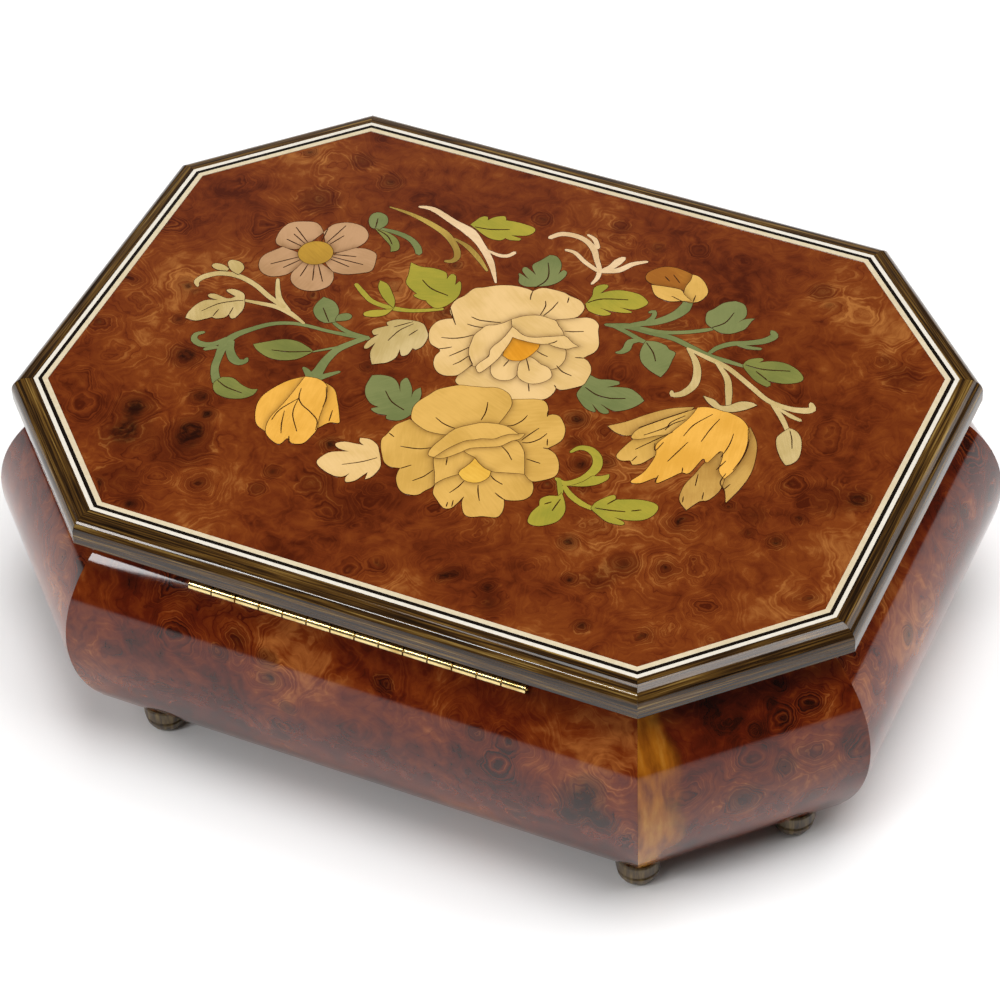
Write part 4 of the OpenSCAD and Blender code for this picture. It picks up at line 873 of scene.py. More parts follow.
            (-82.8, 3.3, SHARP), (-84.4, 1.6), (-88.9, 2), (-90.4, 1.1), (-89.7, 0.1), (-86.7, 0, SHARP),
            (-90, -1.4), (-91.7, -4.2), (-92.3, -8.1), (-91.9, -10.3, SHARP), (-88.9, -10.3), (-86.7, -8.7),
            (-85, -7, SHARP), (-83.9, -7.3), (-81.7, -5.9), (-81.1, -4.2, SHARP), (-80, -5.4), (-78.9, -5.1),
            (-78.3, -1.4), (-78.9, 1.3)]),
        ("ivory", 35, [(-24.4, -35.7, SHARP), (-21.7, -35.2), (-18.9, -36.4), (-17.2, -38.7), (-15.6, -41.2),
            (-14.4, -44.2), (-14.9, -48), (-16.2, -49.8, SHARP), (-16.7, -47, SHARP), (-17.5, -48.8),
            (-18.6, -51.3), (-20.6, -52.7), (-21.4, -51.2), (-21.1, -49.2, SHARP), (-22.4, -51.2),
            (-25, -51.7), (-28.9, -50.6), (-31.4, -48.6), (-30.6, -45.3), (-28.9, -43.4),
            (-25, -41.7, SHARP), (-28.3, -41.6), (-29.7, -40.3), (-27.8, -38.7), (-24.4, -38.2),
            (-22.2, -37.9, SHARP), (-23.9, -37.1)]),
        ("pale", 60, [(83.3, 12.7, SHARP), (85.6, 12.2), (88, 9.5), (89.5, 5), (89.7, 2), (88.7, -0.3),
            (87.5, -1.2, SHARP), (85.5, 0.6), (83, 4), (81.5, 7.6), (82, 10)]),
        ("pale", 40, [(-86.3, 12, SHARP), (-86, 15), (-88, 17), (-91, 17), (-91.5, 15.5), (-90, 13.6),
            (-88.5, 12.6)]),
        ("pale", 0, [(-90, 12.3, SHARP), (-93, 11.6), (-95.2, 12.5), (-94.8, 13.8), (-92.5, 14.2),
            (-90, 13.2)]),
        ("pale", 30, [(56.6, 15.7, SHARP), (60, 15.4), (62.6, 13.9), (64.7, 14.8, SHARP), (67, 17.4),
            (70, 18.3), (71.8, 17.8, SHARP), (69.5, 15), (66, 12.5), (62, 12.3), (59, 13.6)]),
    ],
}

# Lines cut in the petals.
STROKES = [
    [(-16.4, 21), (-13.9, 20.6), (-10.9, 21.1), (-7.8, 21.9)], [(-16.2, 17.8), (-13.9, 17.7), (-11.6, 18.1)],
    [(-20.7, 9.9), (-17.8, 10.7), (-15.1, 12.2), (-12.8, 14.3)], [(-15.5, 3.7), (-13.5, 6.5), (-11.8, 9.2)],
    [(-13, 0.9), (-11.6, 3), (-10.5, 5.7)], [(-16.4, 7.4), (-17.8, 6.3), (-19.3, 5.4)],
    [(-23.6, 22.2), (-21.2, 18.8), (-19.3, 16.3)], [(-4.7, 38), (-4.4, 35.7), (-3.8, 34)],
    [(0.4, 35.1), (1.3, 33), (1.4, 29.2)], [(3.9, 36.1), (3.4, 32.6), (2.4, 29.2)], [(6, 39), (6.5, 36.9)],
    [(10.5, 25.5), (12.6, 26.1), (15.5, 27.4)], [(6.7, 14.9), (8.4, 14.3), (10.2, 14)],
    [(14.1, 11.5), (16.5, 9.9), (19.5, 9.3)], [(9.7, 1.8), (11.1, -0.9)], [(0.8, 8.6), (0.4, 5.7)],
    [(5.1, 10.9), (6.5, 8.8), (7.8, 6.7)], [(17.6, 16.6), (19.7, 17.2)], [(16.7, 4), (17.4, 3.3)],
    [(8.4, 19), (9.6, 20), (10.1, 21)], [(-8, 3.1), (-9.4, 4.6), (-10.3, 5.9)],
    [(2.3, -9.4), (3.1, -11.9), (3.5, -14.2), (3.5, -16.5)],
    [(-8.5, -20.4), (-5.8, -21.7), (-3.5, -22.2), (-1.9, -22.3)],
    [(-12.7, -34.4), (-10, -34), (-7.3, -33.3), (-4.7, -31.8)], [(-17.9, -30.9), (-16, -31.7)],
    [(-4, -45.3), (-1.9, -42.7), (-0.6, -39.6)], [(-6.9, -40), (-9, -42.2)],
    [(7.3, -45.6), (8.5, -42.7), (9, -40.2)], [(16, -45.4), (14.2, -42.3), (13.3, -40.2)],
    [(1, -33.5), (1.9, -36.3)], [(14.9, -35.4), (16.5, -36.5), (19.2, -37.3)],
    [(18.7, -41), (20.4, -41.9), (22.3, -42.5)], [(12.9, -23.8), (15.4, -25.4), (17.7, -27.7)],
    [(21.3, -25.8), (25.4, -26)], [(14.6, -10), (14.2, -12.3), (12.7, -15), (11.2, -15.9)],
    [(19.6, -13.5), (18.3, -16.5), (17.1, -19.6)],
    [(22.5, -14.6), (21.5, -17.3), (19.6, -19.6), (17.7, -20.4)], [(23.5, -16.5), (24.4, -18.8)],
    [(23.8, -20.1), (25.8, -19.9)], [(11.5, -45.7), (11.2, -47.8)], [(19.2, -6.3), (19.9, -8.3)],
    [(9.4, -48), (10, -50.2)], [(8.3, -49.2), (8.6, -50.8)],
    [(-48.3, -24), (-47.2, -27.7), (-45, -30), (-42, -31.5), (-38.5, -34), (-37.2, -37.5)],
    [(-47.2, -28), (-50, -34), (-50.3, -38.5)], [(-47.2, -28), (-46, -34), (-41.8, -40)],
    [(-48.6, -34), (-47, -39), (-45.5, -42.3)], [(-42, -21), (-40, -25), (-39.4, -28.5)],
    [(-36.3, -28.7), (-35.3, -33)], [(-43, -42.5), (-41.8, -44.8)], [(55, 8.6), (50, 3), (45, -2.8)],
    [(55, 6.4), (52.4, 2.6), (51.8, 0), (47.4, -5)], [(55.6, 5), (53, 2), (52, -1)],
    [(54.3, -0.8), (51, -5.6), (47.4, -11)], [(51.4, -6.8), (52.6, -9.4), (53.4, -5.6)],
    [(48.8, -13.4), (48.2, -15.6)], [(61.8, 9.8), (58.6, 4), (57.6, -1.2)],
    [(64.3, 8.8), (63.4, 4), (62.9, -1.4)], [(59.6, -3), (57.3, -12)], [(70, 4.8), (70.5, 0), (70.1, -5)],
    [(73, 8), (75, 2.6), (75.6, -3), (75, -8.4)], [(71.9, -5.8), (70.8, -10)],
    [(73.7, -10.4), (73.5, -14), (75, -16)], [(76.3, -13.8), (75.4, -16.4)], [(57, -18), (57.1, -20.6)],
    [(62, -12.8), (62.6, -14.6)], [(66.8, -13.4), (67.8, -18)], [(66.4, -23), (66.9, -25)],
    [(70.8, -19.4), (71.4, -22)], [(33, 50.6), (36.5, 49.7)], [(39.2, 53.5), (39.5, 50.6)],
    [(28, 57.7), (30, 56.3)], [(30, 59.3), (33, 56.7)], [(-30.5, 12), (-33, 8), (-34.2, 3)],
    [(-31, 12.8), (-35, 8.8)], [(-28.3, 10.2), (-29.6, 7.2)],
    [(-89, -6), (-86, -1.5), (-82, 1.5), (-79.9, 2.5)], [(-84.8, -3.5), (-85, -6.6)],
    [(-81.3, -1.2), (-81, -4.2)], [(-24.5, -47), (-20, -44), (-16.8, -41)],
    [(83.8, 11.8), (85.4, 9), (86.8, 5.5)],
]
# The small flower's rays: for each petal's direction, the rays' angles and lengths.
RAYS = [(142, 7.6), (152, 5.4), (168, 5.2), (97, 5.6), (78, 9), (66, 5.4), (14, 6.6), (2, 9.6), (-9, 6.4),
        (-55, 7.4), (-68, 6.6), (-88, 5.4), (-122, 5.6), (-137, 8.2)]
FLOWER_EYE = (-69.8, 29)

# The largest eyes of the burl in the lid: place, size and strength.
LID_KNOTS = [
    (-88, -48, 4.5, 1), (-86, -58.5, 5, 1.1), (-69, -50.5, 3.5, 1), (-68.5, -57, 7, 0.7),
    (-84.5, -24, 3.6, 1.1), (-73, -37.5, 2.6, 1.1), (-68, -43, 1.8, 1.1), (-93.5, -11.3, 1.6, 1),
    (-35, -9, 1.8, 0.9), (-31, -41, 2.6, 1), (-79, 50.5, 5, 0.7), (-63, 66, 3, 0.8), (-91.5, 69.5, 1.8, 0.9),
    (-75, 71.5, 3, 0.7), (-30, 39.5, 1.6, 0.9), (-14.5, 67.5, 2.4, 0.8), (28, -6, 2.6, 1), (36, -22, 2.6, 1),
    (31, -15, 2, 0.8), (44.3, -50.3, 2.2, 1), (61, -52.5, 3.6, 0.8), (50, -63, 1.8, 1),
    (57, -60.5, 3.4, 0.7), (21, -72.5, 2.4, 1), (18, -75, 1.8, 0.9), (31, -73.5, 2.2, 0.9),
    (34, -79, 3.4, 0.8), (59.6, -77, 2, 1), (41.8, -18.5, 2.2, 0.8), (79, -21.5, 1.6, 0.9),
    (86.5, -22, 3, 0.7), (95.5, -29, 2.2, 1), (87.5, -29, 1.6, 0.9), (98, -18.5, 1.8, 0.9),
    (110.5, -6, 3, 1), (102, -9, 6, 0.5), (-41, -56.5, 2, 0.9), (-42, -64, 2, 0.8), (-28, -56, 4.5, 0.6),
    (-17, -62.5, 5.5, 0.5), (-71, -82.5, 2.6, 1), (-84, -79.4, 2, 1), (-79, -75, 6, 0.5), (8, 73, 2.4, 0.7),
    (21.5, 68.5, 1.8, 0.8), (33, 72, 2.4, 0.7), (72, 68.5, 3.2, 0.6), (105, 44, 5, 0.5), (40, -30, 1.6, 0.8),
    (-12, -51.5, 2, 0.7),
]
# The eyes of three walls, as (distance along the side from its middle, height, size, strength).
WALL_KNOTS = {
    "back": [(69, 41, 4.5, 1.1), (75, 36, 3.5, 1.1), (66, 34, 3, 1), (72, 47, 3, 0.8), (-24, 54, 2, 1),
             (-38, 52, 1.8, 1), (-21, 27, 2, 0.9), (10, 57, 2, 1), (-17, 41, 1.8, 0.8), (38, 52, 2, 0.8),
             (50, 30, 2.4, 0.7), (-56, 33, 2.2, 0.6)],
    "back_left": [(-3, 36, 4, 0.9), (9, 44, 2.6, 0.8), (18, 27, 2.6, 0.7), (2, 56, 1.8, 0.8)],
    "left": [(-20, 50, 2.4, 0.9), (5, 40, 3.4, 0.8), (28, 52, 2, 0.8)],
}


def knots_near(p, knots):
    """How near the point p is to the eyes listed, 1 being in the middle of one."""
    too_far = 16
    most = 1.4
    total = 0.0
    for u, v, size, strength in knots:
        near = ((p[0] - u) ** 2 + (p[1] - v) ** 2) / (size * KNOT_SPREAD) ** 2
        if near < too_far:
            total += strength * math.exp(-near)
    return min(total, most)


def inlay(piece, outline, material, layer, **shading):
    """One piece of the marquetry in a dark seam."""
    high = GROUND + layer * INLAY_STEP
    plate(piece, grown(outline, SEAM), GROUND - INLAY_DEEP, high - INLAY_STEP / 2, WOODS["seam"])
    plate(piece, outline, GROUND - INLAY_DEEP, high, material, **shading)


def cut_line(piece, points):
    """A fine dark line that tapers at both ends."""
    if len(points) == 2:
        points = [points[0], tuple((a + b) / 2 for a, b in zip(*points)), points[1]]
    widths = [0.2] + [0.36] * (len(points) - 2) + [0.24]
    outline = ribbon([(*p, w) for p, w in zip(points, widths)])
    layer = LINE_LAYER + 0.2 * (len(piece.points) % 50)
    plate(piece, outline, GROUND - INLAY_DEEP, GROUND + layer * INLAY_STEP, WOODS["seam"])


def add_stems():
    """The stems' seams all lie under the lowest stem, so that forks join without a line."""
    stems = Piece("marquetry_stems", "lid")
    for k, (wood, points) in enumerate(STEMS):
        outline = ribbon(points)
        seam = GROUND + (STEM_SEAM_LAYER + 0.2 * k) * INLAY_STEP
        plate(stems, grown(outline, SEAM), GROUND - INLAY_DEEP, seam, WOODS["seam"])
        wood_top = GROUND + (STEM_LAYER + 0.6 * k) * INLAY_STEP
        plate(stems, outline, GROUND - INLAY_DEEP, wood_top, WOODS[wood], angle=25 * k)
    stems.build("pale_stringing")


def add_marquetry():
    """The ground veneer, then stems, leaves and flowers let into it."""
    ground = Piece("lid_burl_veneer", "lid")
    outline = [(-x, -y) for x, y in octagon(-STRING_IN)]
    plate(ground, outline, corner("lid_veneer", False).z, GROUND, WOODS["burl"], spacing=1.6, knots=LID_KNOTS)
    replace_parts(ground.build("burl_veneer"), "lid_veneer")
    add_stems()

    layer = LEAF_LAYER
    leaves = Piece("marquetry_leaves", "lid")
    lines = Piece("marquetry_lines", "lid")
    for dye, angle, outline, veins in LEAVES:
        layer += 1
        inlay(leaves, curve(outline, True), WOODS[dye], layer, angle=angle, spacing=1.2, covers=[])
        for vein in veins:
            cut_line(lines, vein)
    leaves.build("pale_stringing")

    for name, petals in PETALS.items():
        flower = Piece("marquetry_" + name, "lid")
        outlines = [curve(petal[2], True) for petal in petals]
        for k, (wood, angle, _) in enumerate(petals):
            layer += 1
            covers = outlines[k + 1:] if name != "pale_leaves" else []
            inlay(flower, outlines[k], WOODS[wood], layer, angle=angle, spacing=1.0, covers=covers)
        flower.build("pale_stringing")

    for stroke in STROKES:
        cut_line(lines, stroke)
    for angle, length in RAYS:
        way = Vector((math.cos(math.radians(angle)), math.sin(math.radians(angle))))
        start = Vector(FLOWER_EYE) + way * RAY_START
        cut_line(lines, [tuple(start), tuple(start + way * length)])
    lines.build("black_stringing")


# ---- case and lid ----

def wall_section():
    """The walls' outline as (offset, height) points, from the foot of the outer face up and round."""
    middle_low = (BULGE - BULGE_LOW_R, BULGE_Z)
    middle_up = (BULGE - BULGE_UP_R, BULGE_Z)
    rim_ease = 0.4
    low_start = -math.degrees(math.asin((BULGE_Z - WALL_LOW - FOOT_ROUND) / BULGE_LOW_R))
    top_end = math.degrees(math.asin((RIM - rim_ease - BULGE_Z) / BULGE_UP_R))
    outer = arc(middle_low, BULGE_LOW_R, low_start, 0, 26) + arc(middle_up, BULGE_UP_R, 0, top_end, 30)[1:]
    edge = outer[0]
    start = math.radians(low_start)
    centre = (edge[0] - FOOT_ROUND * math.cos(start), edge[1] - FOOT_ROUND * math.sin(start))
    round_steps = 6
    rounding = arc(centre, FOOT_ROUND, -90, low_start, round_steps)[:-1]
    lift = WALL_LOW - rounding[0][1]
    rounding = [(off, max(WALL_LOW, z + lift * (1 - k / round_steps))) for k, (off, z) in enumerate(rounding)]
    rim = outer[-1]
    cap = [(rim[0] - 0.15, RIM - 0.12), (rim[0] - 0.5, RIM), (-WALL_IN, RIM), (-WALL_IN, WALL_LOW)]
    return rounding + outer + cap


def add_walls():
    """Eight mitred walls. The one at the back left has a streak of sapwood at its mitre."""
    section = wall_section()
    for i, side in enumerate(SIDES):
        wood = WOODS["sapwood"] if side == "back_left" else WOODS["wall_burl"]
        sapwood = wood is WOODS["sapwood"]
        shift = (0, 0, 0) if sapwood else (170 * i, 90 * i, 40 * i)
        piece = Piece("veneered_wall_" + side, "case")
        rail(piece, i, section, wood, gap=MITRE_GAP, grain_shift=shift, along_grain=sapwood,
             steps=WALL_STEPS if side in WALL_KNOTS else 1, knots=WALL_KNOTS.get(side, ()))
        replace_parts(piece.build("burl_veneer", smooth=WOOD_CREASE), "wall_" + side)


def moulding_section():
    """Quarter round over a straight edge, with the sharp corners just taken off."""
    flat = MOULD_OUT - MOULD_R
    return ([(RAIL_BACK, LID_LOW), (MOULD_OUT - RAIL_EASE, LID_LOW), (MOULD_OUT, LID_LOW + RAIL_EASE)]
            + arc((flat, TOP - MOULD_R), MOULD_R, 0, 90, 16) + [(RAIL_BACK, TOP)])


def add_mouldings():
    """The lid's eight rails: four of their own and the corner ones in one piece."""
    section = moulding_section()
    corners = Piece("corner_mouldings", "lid")
    for i, side in enumerate(SIDES):
        own = i % 2 == 0
        piece = Piece("moulding_rail_" + side, "lid") if own else corners
        rail(piece, i, section, WOODS["rail"], gap=RAIL_MITRE_GAP, grain_shift=(300 * i, 7 * i, 0),
             along_grain=True)
        if own:
            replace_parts(piece.build("dark_wood", smooth=WOOD_CREASE), "moulding_" + side)
    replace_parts(corners.build("dark_wood", smooth=WOOD_CREASE), "moulding_corners")


# ---- inside ----

def bay(off, gap):
    """The jewel bay's outline at an offset from the octagon, gap away from the partition."""
    left = corner("partition").x + gap
    corners = octagon(off)
    return [(left, corners[0][1])] + corners[1:5] + [(left, corners[4][1])]


def oblong(node):
    """A node's outline from above, where it is a rectangle."""
    low, high = corner(node, False), corner(node)
    return [(low.x, low.y), (high.x, low.y), (high.x, high.y), (low.x, high.y)]


def pulled_in(outline, pull, step=3.0):
    """The outline with points about every step mm, and each side drawn in by pull in its middle."""
    out = []
    for k, here in enumerate(outline):
        a, b = Vector(here), Vector(outline[(k + 1) % len(outline)])
        inward = Vector((a.y - b.y, b.x - a.x)).normalized()
        count = max(2, round((b - a).length / step))
        for n in range(count):
            t = n / count
            out.append(a.lerp(b, t) + inward * pull * math.sin(math.pi * t))
    return out


def pad(name, body, outline, back, front, edge, reach, material, pull=0.3, channels=(), spacing=3.0):
    """A covered slab from its flat back to a soft front, both heights in mm.

    The front falls by edge over the last reach mm to the rim, and dips along each sewn channel, which runs
    that far in from the rim.
    """
    channel_deep, channel_wide = 0.4, 1.1
    rim = pulled_in(outline, pull)
    rings = [0.08 * reach, 0.25 * reach, 0.5 * reach, reach]
    for channel in channels:
        rings += [channel + aside for aside in (-1.4, -0.6, 0, 0.6, 1.4)]
    spots = [p for d in rings for p in grown(rim, -d)]
    spots += [Vector(p) for p in spots_over(rim, spacing)]
    grid = np.array(spots)
    grid = grid[inside(grid, rim)]
    grid = grid[edge_distance(grid, rim) > 0.05 * reach]
    flat, tris = filled(rim, [Vector(p) for p in grid])
    gaps = edge_distance(np.array(flat), rim)
    falls = edge * (1 - np.sqrt(1 - (1 - np.clip(gaps / reach, 0, 1))**2))
    for channel in channels:
        falls = falls + channel_deep * edge * np.exp(-((gaps - channel) / channel_wide)**2)
    way = 1 if front > back else -1
    points = [(*p, front - way * fall) for p, fall in zip(flat, falls)] + [(*p, back) for p in flat]
    faces = slab_faces(tris, len(flat))
    if way < 0:
        faces = [f[::-1] for f in faces]
    piece = Piece(name, body)
    piece.add(points, faces, material)
    return piece


def add_lid_panel():
    """The padded panel in the lid, with one sewn channel round it."""
    panel = octagon(-WALL_IN)
    low, high = corner("lid_lining", False).z, corner("lid_lining").z
    lining = pad("lid_velvet_panel", "lid", panel, high, low, 1.9, 5.0, VELVET, pull=0.5, channels=[13.0],
                 spacing=1.6)
    lining = lining.build("velvet", smooth=CLOTH_CREASE)
    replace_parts(lining, "lid_lining")


def add_bay_pads():
    """The jewel bay's floor, ring platform and divider, each with its own rounding."""
    for name, node, outline, edge, fill in [
            ("velvet_floor_pad", "velvet_floor", bay(-WALL_IN - VELVET_T, VELVET_T), 0.8, 0.7),
            ("ring_platform_pad", "ring_platform", oblong("ring_platform"), 1.6, 0.9),
            ("ring_divider_pad", "ring_divider", oblong("ring_divider"), 1.1, 0.9)]:
        low, high = corner(node, False).z, corner(node).z
        part = pad(name, "case", outline, low, high, edge, edge, VELVET, pull=0.1)
        part = part.build("velvet", smooth=CLOTH_CREASE)
        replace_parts(part, node)


def add_wall_lining():
    """The velvet round the jewel bay's walls, with a rounded upper edge."""
    low, high = corner("velvet_lining", False).z, corner("velvet_lining").z
    crown = [(0, high - 0.5), (0.15, high - 0.15), (0.5, high), (0.85, high - 0.15), (1, high - 0.5)]
    section = [(0, low)] + crown + [(1, low)]
    outer, inner = bay(-WALL_IN, 0), bay(-WALL_IN - VELVET_T, VELVET_T)
    points = [(*Vector(a).lerp(Vector(b), t), z) for a, b in zip(outer, inner) for t, z in section]
    count, around = len(section), len(outer)
    faces = []
    for k in range(around):
        for n in range(count):
            here, ahead = k * count, (k + 1) % around * count
            faces.append([here + n, ahead + n, ahead + (n + 1) % count, here + (n + 1) % count])
    wall = Piece("velvet_wall_lining", "case")
    wall.add(points, faces, VELVET)
    wall = wall.build("velvet", smooth=CLOTH_CREASE)
    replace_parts(wall, "velvet_lining")


def swell(piece, voxel, most):
    """Blows a closed piece up as cloth, no point moving over most mm, and keeps the result as its mesh."""
    pressure = 4
    frames = 20
    scene = bpy.context.scene
    remesh = piece.modifiers.new("remesh", "REMESH")
    remesh.mode = "VOXEL"
    remesh.voxel_size = voxel * MM
    piece.data = bpy.data.meshes.new_from_object(piece.evaluated_get(bpy.context.evaluated_depsgraph_get()))
    piece.modifiers.clear()
    start = [v.co.copy() for v in piece.data.vertices]
    cloth = piece.modifiers.new("cloth", "CLOTH")
    cloth.settings.use_pressure = True
    cloth.settings.uniform_pressure_force = pressure
    cloth.settings.effector_weights.gravity = 0
    for step in range(1, frames + 1):
        scene.frame_set(step)
    blown = piece.evaluated_get(bpy.context.evaluated_depsgraph_get()).data
    ends = [v.co.copy() for v in blown.vertices]
    piece.modifiers.clear()
    for vertex, a, b in zip(piece.data.vertices, start, ends):
        move = b - a
        if move.length > most * MM:
            move = move.normalized() * most * MM
        vertex.co = a + move
    scene.frame_set(1)
    piece.data.shade_smooth()
    piece.modifiers.new("smooth", "SUBSURF").render_levels = 1


def add_ring_rolls():
    """Stuffed velvet rolls that taper at their sewn ends and are flat where they lie on the platform."""
    for k in (1, 2, 3):
        node = "ring_roll_" + str(k)
        low, high = corner(node, False), corner(node)
        middle = (low + high) / 2
        radius = (high.x - low.x) / 2 - ROLL_SWELL
        half = (high.y - low.y) / 2 - ROLL_SWELL
        sides = ROLL_SIDES
        # Shares of half the length and of the radius, out to one end.
        taper = [(-1, 0.55), (-0.995, 0.75), (-0.98, 0.9), (-0.95, 0.98)]
        stations = taper + [(s / 10, 1.0) for s in range(-9, 10)] + [(-s, r) for s, r in taper[::-1]]
        points = []
        for along, width in stations:
            for n in range(sides):
                a = 2 * math.pi * n / sides
                across = (math.cos(a) * width * radius, max(math.sin(a) * width, ROLL_FLAT) * radius)
                points.append((middle.x + across[0], middle.y + along * half, middle.z + across[1]))
        faces = [list(range(sides)), list(range(len(points) - 1, len(points) - sides - 1, -1))]
        for s in range(len(stations) - 1):
            for n in range(sides):
                here, ahead = s * sides + n, s * sides + (n + 1) % sides
                faces.append([here, here + sides, ahead + sides, ahead])
        roll = Piece("velvet_ring_roll_" + str(k), "case")
        roll.add(points, faces, VELVET)
        roll = roll.build("velvet", smooth=CLOTH_CREASE)
        swell(roll, ROLL_VOXEL, ROLL_SWELL)
        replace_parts(roll, node)


def add_partition():
    """The board between the movement and the jewel bay, its top edge rounded."""
    edge = 0.8
    low, high = corner("partition", False).z, corner("partition").z
    outline = oblong("partition")
    board = pad("partition_board", "case", outline, low, high, edge, edge, WOODS["wall_burl"], pull=0)
    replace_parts(board.build("plain_wood", smooth=CLOTH_CREASE), "partition")


def add_cylinder_pins():
    """Fine steel pins in as many rows round the cylinder as the comb has teeth, short of its tips."""
    low, high = corner("cylinder", False), corner("cylinder")
    middle = (low + high) / 2
    radius = (high.z - low.z) / 2
    root, tip = (-0.3, 0.13), (0.3, 0.11)      # (height over the cylinder, radius) of a pin's ends
    rng = random.Random(5)
    pins = Piece("cylinder_pins", "cylinder")
    for row in range(COMB_TEETH):
        y = low.y + (row + 0.5) * (high.y - low.y) / COMB_TEETH
        for _ in range(rng.randint(6, 12)):
            a = rng.uniform(0, 2 * math.pi)
            out = Vector((math.cos(a), 0, math.sin(a)))
            side = Vector((-math.sin(a), 0, math.cos(a)))
            along = Vector((0, 1, 0))
            points = []
            for reach, width in (root, tip):
                foot = Vector((middle.x, y, middle.z)) + out * (radius + reach)
                for n in range(6):
                    b = math.pi * n / 3
                    points.append(foot + (side * math.cos(b) + along * math.sin(b)) * width)
            faces = [[n, (n + 1) % 6, 6 + (n + 1) % 6, 6 + n] for n in range(6)]
            faces += [list(range(5, -1, -1)), list(range(6, 12))]
            pins.add(points, [f[::-1] for f in faces], STEEL)
    pins.build("steel")


def paint(material, *nodes):
    """Gives CAD nodes that keep their shape a better material."""
    for name in nodes:
        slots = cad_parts[name].data.materials
        slots.clear()
        slots.append(material)


# ---- stage ----

def add_floor():
    """A plain floor."""
    far = FLOOR_HALF
    mesh = bpy.data.meshes.new("floor")
    mesh.from_pydata([(-far, -far, 0), (far, -far, 0), (far, far, 0), (-far, far, 0)], [], [(0, 1, 2, 3)])
    mesh.materials.append(floor_paint("floor_paint"))
    floor = bpy.data.objects.new("floor", mesh)
    bpy.context.scene.collection.objects.link(floor)


def add_light(name, azimuth, elevation, distance, width, height, power):
    """A soft rectangular light that faces the box, its azimuth measured as the camera's. Sizes in metres."""
    az, el = math.radians(azimuth), math.radians(elevation)
    away = Vector((math.sin(az) * math.cos(el), -math.cos(az) * math.cos(el), math.sin(el)))
    data = bpy.data.lights.new(name, "AREA")
    data.shape = "RECTANGLE"
    data.size = width
    data.size_y = height
    data.energy = power
    light = bpy.data.objects.new(name, data)
    facing = away.to_track_quat("Z", "Y").to_matrix().to_4x4()
    light.matrix_world = Matrix.Translation(away * distance) @ facing
    bpy.context.scene.collection.objects.link(light)


def add_world():
    """Dim overall and brighter low down behind the object, which lightens the lid's far edge."""
    world = bpy.data.worlds.new("studio")
    world.use_nodes = True
    tree = world.node_tree
    background = tree.nodes["Background"]
    place = tree.nodes.new("ShaderNodeTexCoord")
    toward = tree.nodes.new("ShaderNodeVectorMath")
    toward.operation = "DOT_PRODUCT"
    az = math.radians(CAMERA["azimuth"] + 180)
    toward.inputs[1].default_value = (math.sin(az) * GLOW_FLAT, -math.cos(az) * GLOW_FLAT, GLOW_RISE)
    glow = tree.nodes.new("ShaderNodeMapRange")
    glow.inputs["From Min"].default_value = GLOW_START
    glow.inputs["To Min"].default_value = WORLD_DIM
    glow.inputs["To Max"].default_value = WORLD_GLOW
    tree.links.new(place.outputs["Generated"], toward.inputs[0])
    tree.links.new(toward.outputs["Value"], glow.inputs["Value"])
    tree.links.new(glow.outputs["Result"], background.inputs["Strength"])
    background.inputs["Color"].default_value = (1, 0.97, 0.93, 1)
    bpy.context.scene.world = world


def add_lights():
    """Two small windows beside the camera, which walls and rails mirror, and three large soft lights."""
    bpy.context.scene.view_settings.view_transform = "Standard"
    ahead = CAMERA["azimuth"]
    add_light("window", azimuth=146, elevation=38, distance=1.6, width=0.24, height=0.34, power=3.4)
    add_light("window_far", azimuth=162, elevation=46, distance=1.6, width=0.55, height=0.06, power=3)
    add_light("overhead", azimuth=ahead + 90, elevation=80, distance=2.0, width=1.6, height=1.6, power=42)
    add_light("side_left", azimuth=ahead - 100, elevation=35, distance=2.2, width=1.2, height=1.2, power=9)
    add_light("side_right", azimuth=ahead + 100, elevation=35, distance=2.2, width=1.2, height=1.2, power=9)


# ---- build ----

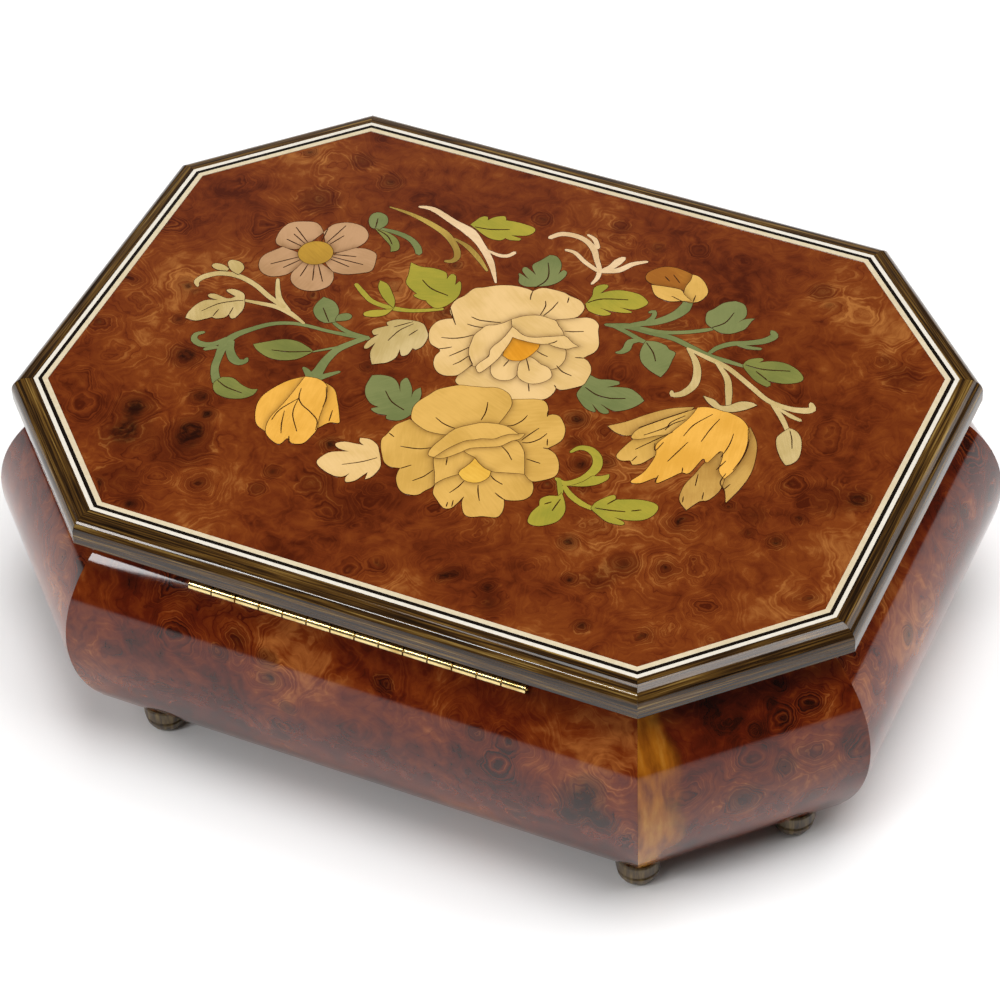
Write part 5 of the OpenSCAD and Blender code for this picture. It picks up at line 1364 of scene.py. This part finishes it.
WALL_TONES = ("2c0901", "571804", "742e0a", "a6602a")
WOODS = {
    "burl": burl("burl_veneer", "451503", "62270a", "743610", "9c602c"),
    "wall_burl": burl("wall_burl_veneer", *WALL_TONES),
    "sapwood": burl("burl_with_sapwood", *WALL_TONES, sapwood=True),
    "rail": dark_rail("dark_rail"),
    "seam": scorched_line("scorched_line"),
    "cream": dyed_veneer("cream_veneer", "dabc94", "c8a87c"),
    "ivory": dyed_veneer("ivory_veneer", "dab67c", "cba768"),
    "pale": dyed_veneer("pale_veneer", "c4ac78", "ae965e"),
    "blush": dyed_veneer("blush_veneer", "b48c66", "a27c56"),
    "straw": dyed_veneer("straw_veneer", "d0a455", "be9446"),
    "khaki": dyed_veneer("khaki_veneer", "bf964e", "a87e3c"),
    "amber": dyed_veneer("amber_veneer", "e0a84a", "d0983a"),
    "centre": dyed_veneer("orange_veneer", "de982c", "c8841e"),
    "gold_disc": dyed_veneer("gold_veneer", "dcae4a", "cc9a38"),
    "disc": dyed_veneer("disc_veneer", "b48a32", "9c762a"),
    "rust": dyed_veneer("rust_veneer", "ac7228", "92581e"),
    "olive": dyed_veneer("olive_veneer", "ac9044", "8c7030"),
    **{name: dyed_veneer(name + "_veneer", *pair) for name, pair in GREENS.items()},
}
VELVET = velvet("velvet")
STEEL = metal("steel", "c4c6ca", "8e9096", 0.18, (1, 0.1, 1))
BRASS = metal("brass", "e6cf92", "bc9a58", 0.12, (1, 0.1, 1))

add_camera()
add_floor()
add_world()
add_lights()
add_walls()
add_mouldings()
add_marquetry()
add_lid_panel()
add_bay_pads()
add_wall_lining()
add_ring_rolls()
add_partition()
add_cylinder_pins()

paint(line_wood("outer_line", "e2ddd4", "cfc6b4"), "stringing_outer")
paint(line_wood("inner_line", "d8ccb2", "c2b08c"), "stringing_inner")
paint(line_wood("black_line", "0a0806", "181008"), "stringing_black")
paint(turned_wood("turned_wood"), "feet_front", "feet_back")
paint(plain_wood("plain_wood"), "base_panel", "window_ledge", "lid_board")
paint(BRASS, "hinge_body_leaf", "hinge_lid_leaf", "hinge_pin", "hinge_body_screws", "hinge_lid_screws",
      "bedplate", "cylinder_brackets", "comb_base", "governor_frame", "cylinder", "cylinder_wheel",
      "spring_barrel", "barrel_cover", "winding_key", "governor_wheel")
paint(STEEL, "bedplate_screws", "comb", "lever_pivot", "cylinder_arbor", "winding_arbor", "fly", "stop_lever",
      "stop_pin")
paint(metal("blued_steel", "3a4a78", "20263c", 0.16, (1, 1, 0.1)), "comb_screws", "mainspring")
paint(clear_sheet("clear_sheet"), "window")
paint(dark_rail("skirt_wood", own_grain=False), "lid_skirt")
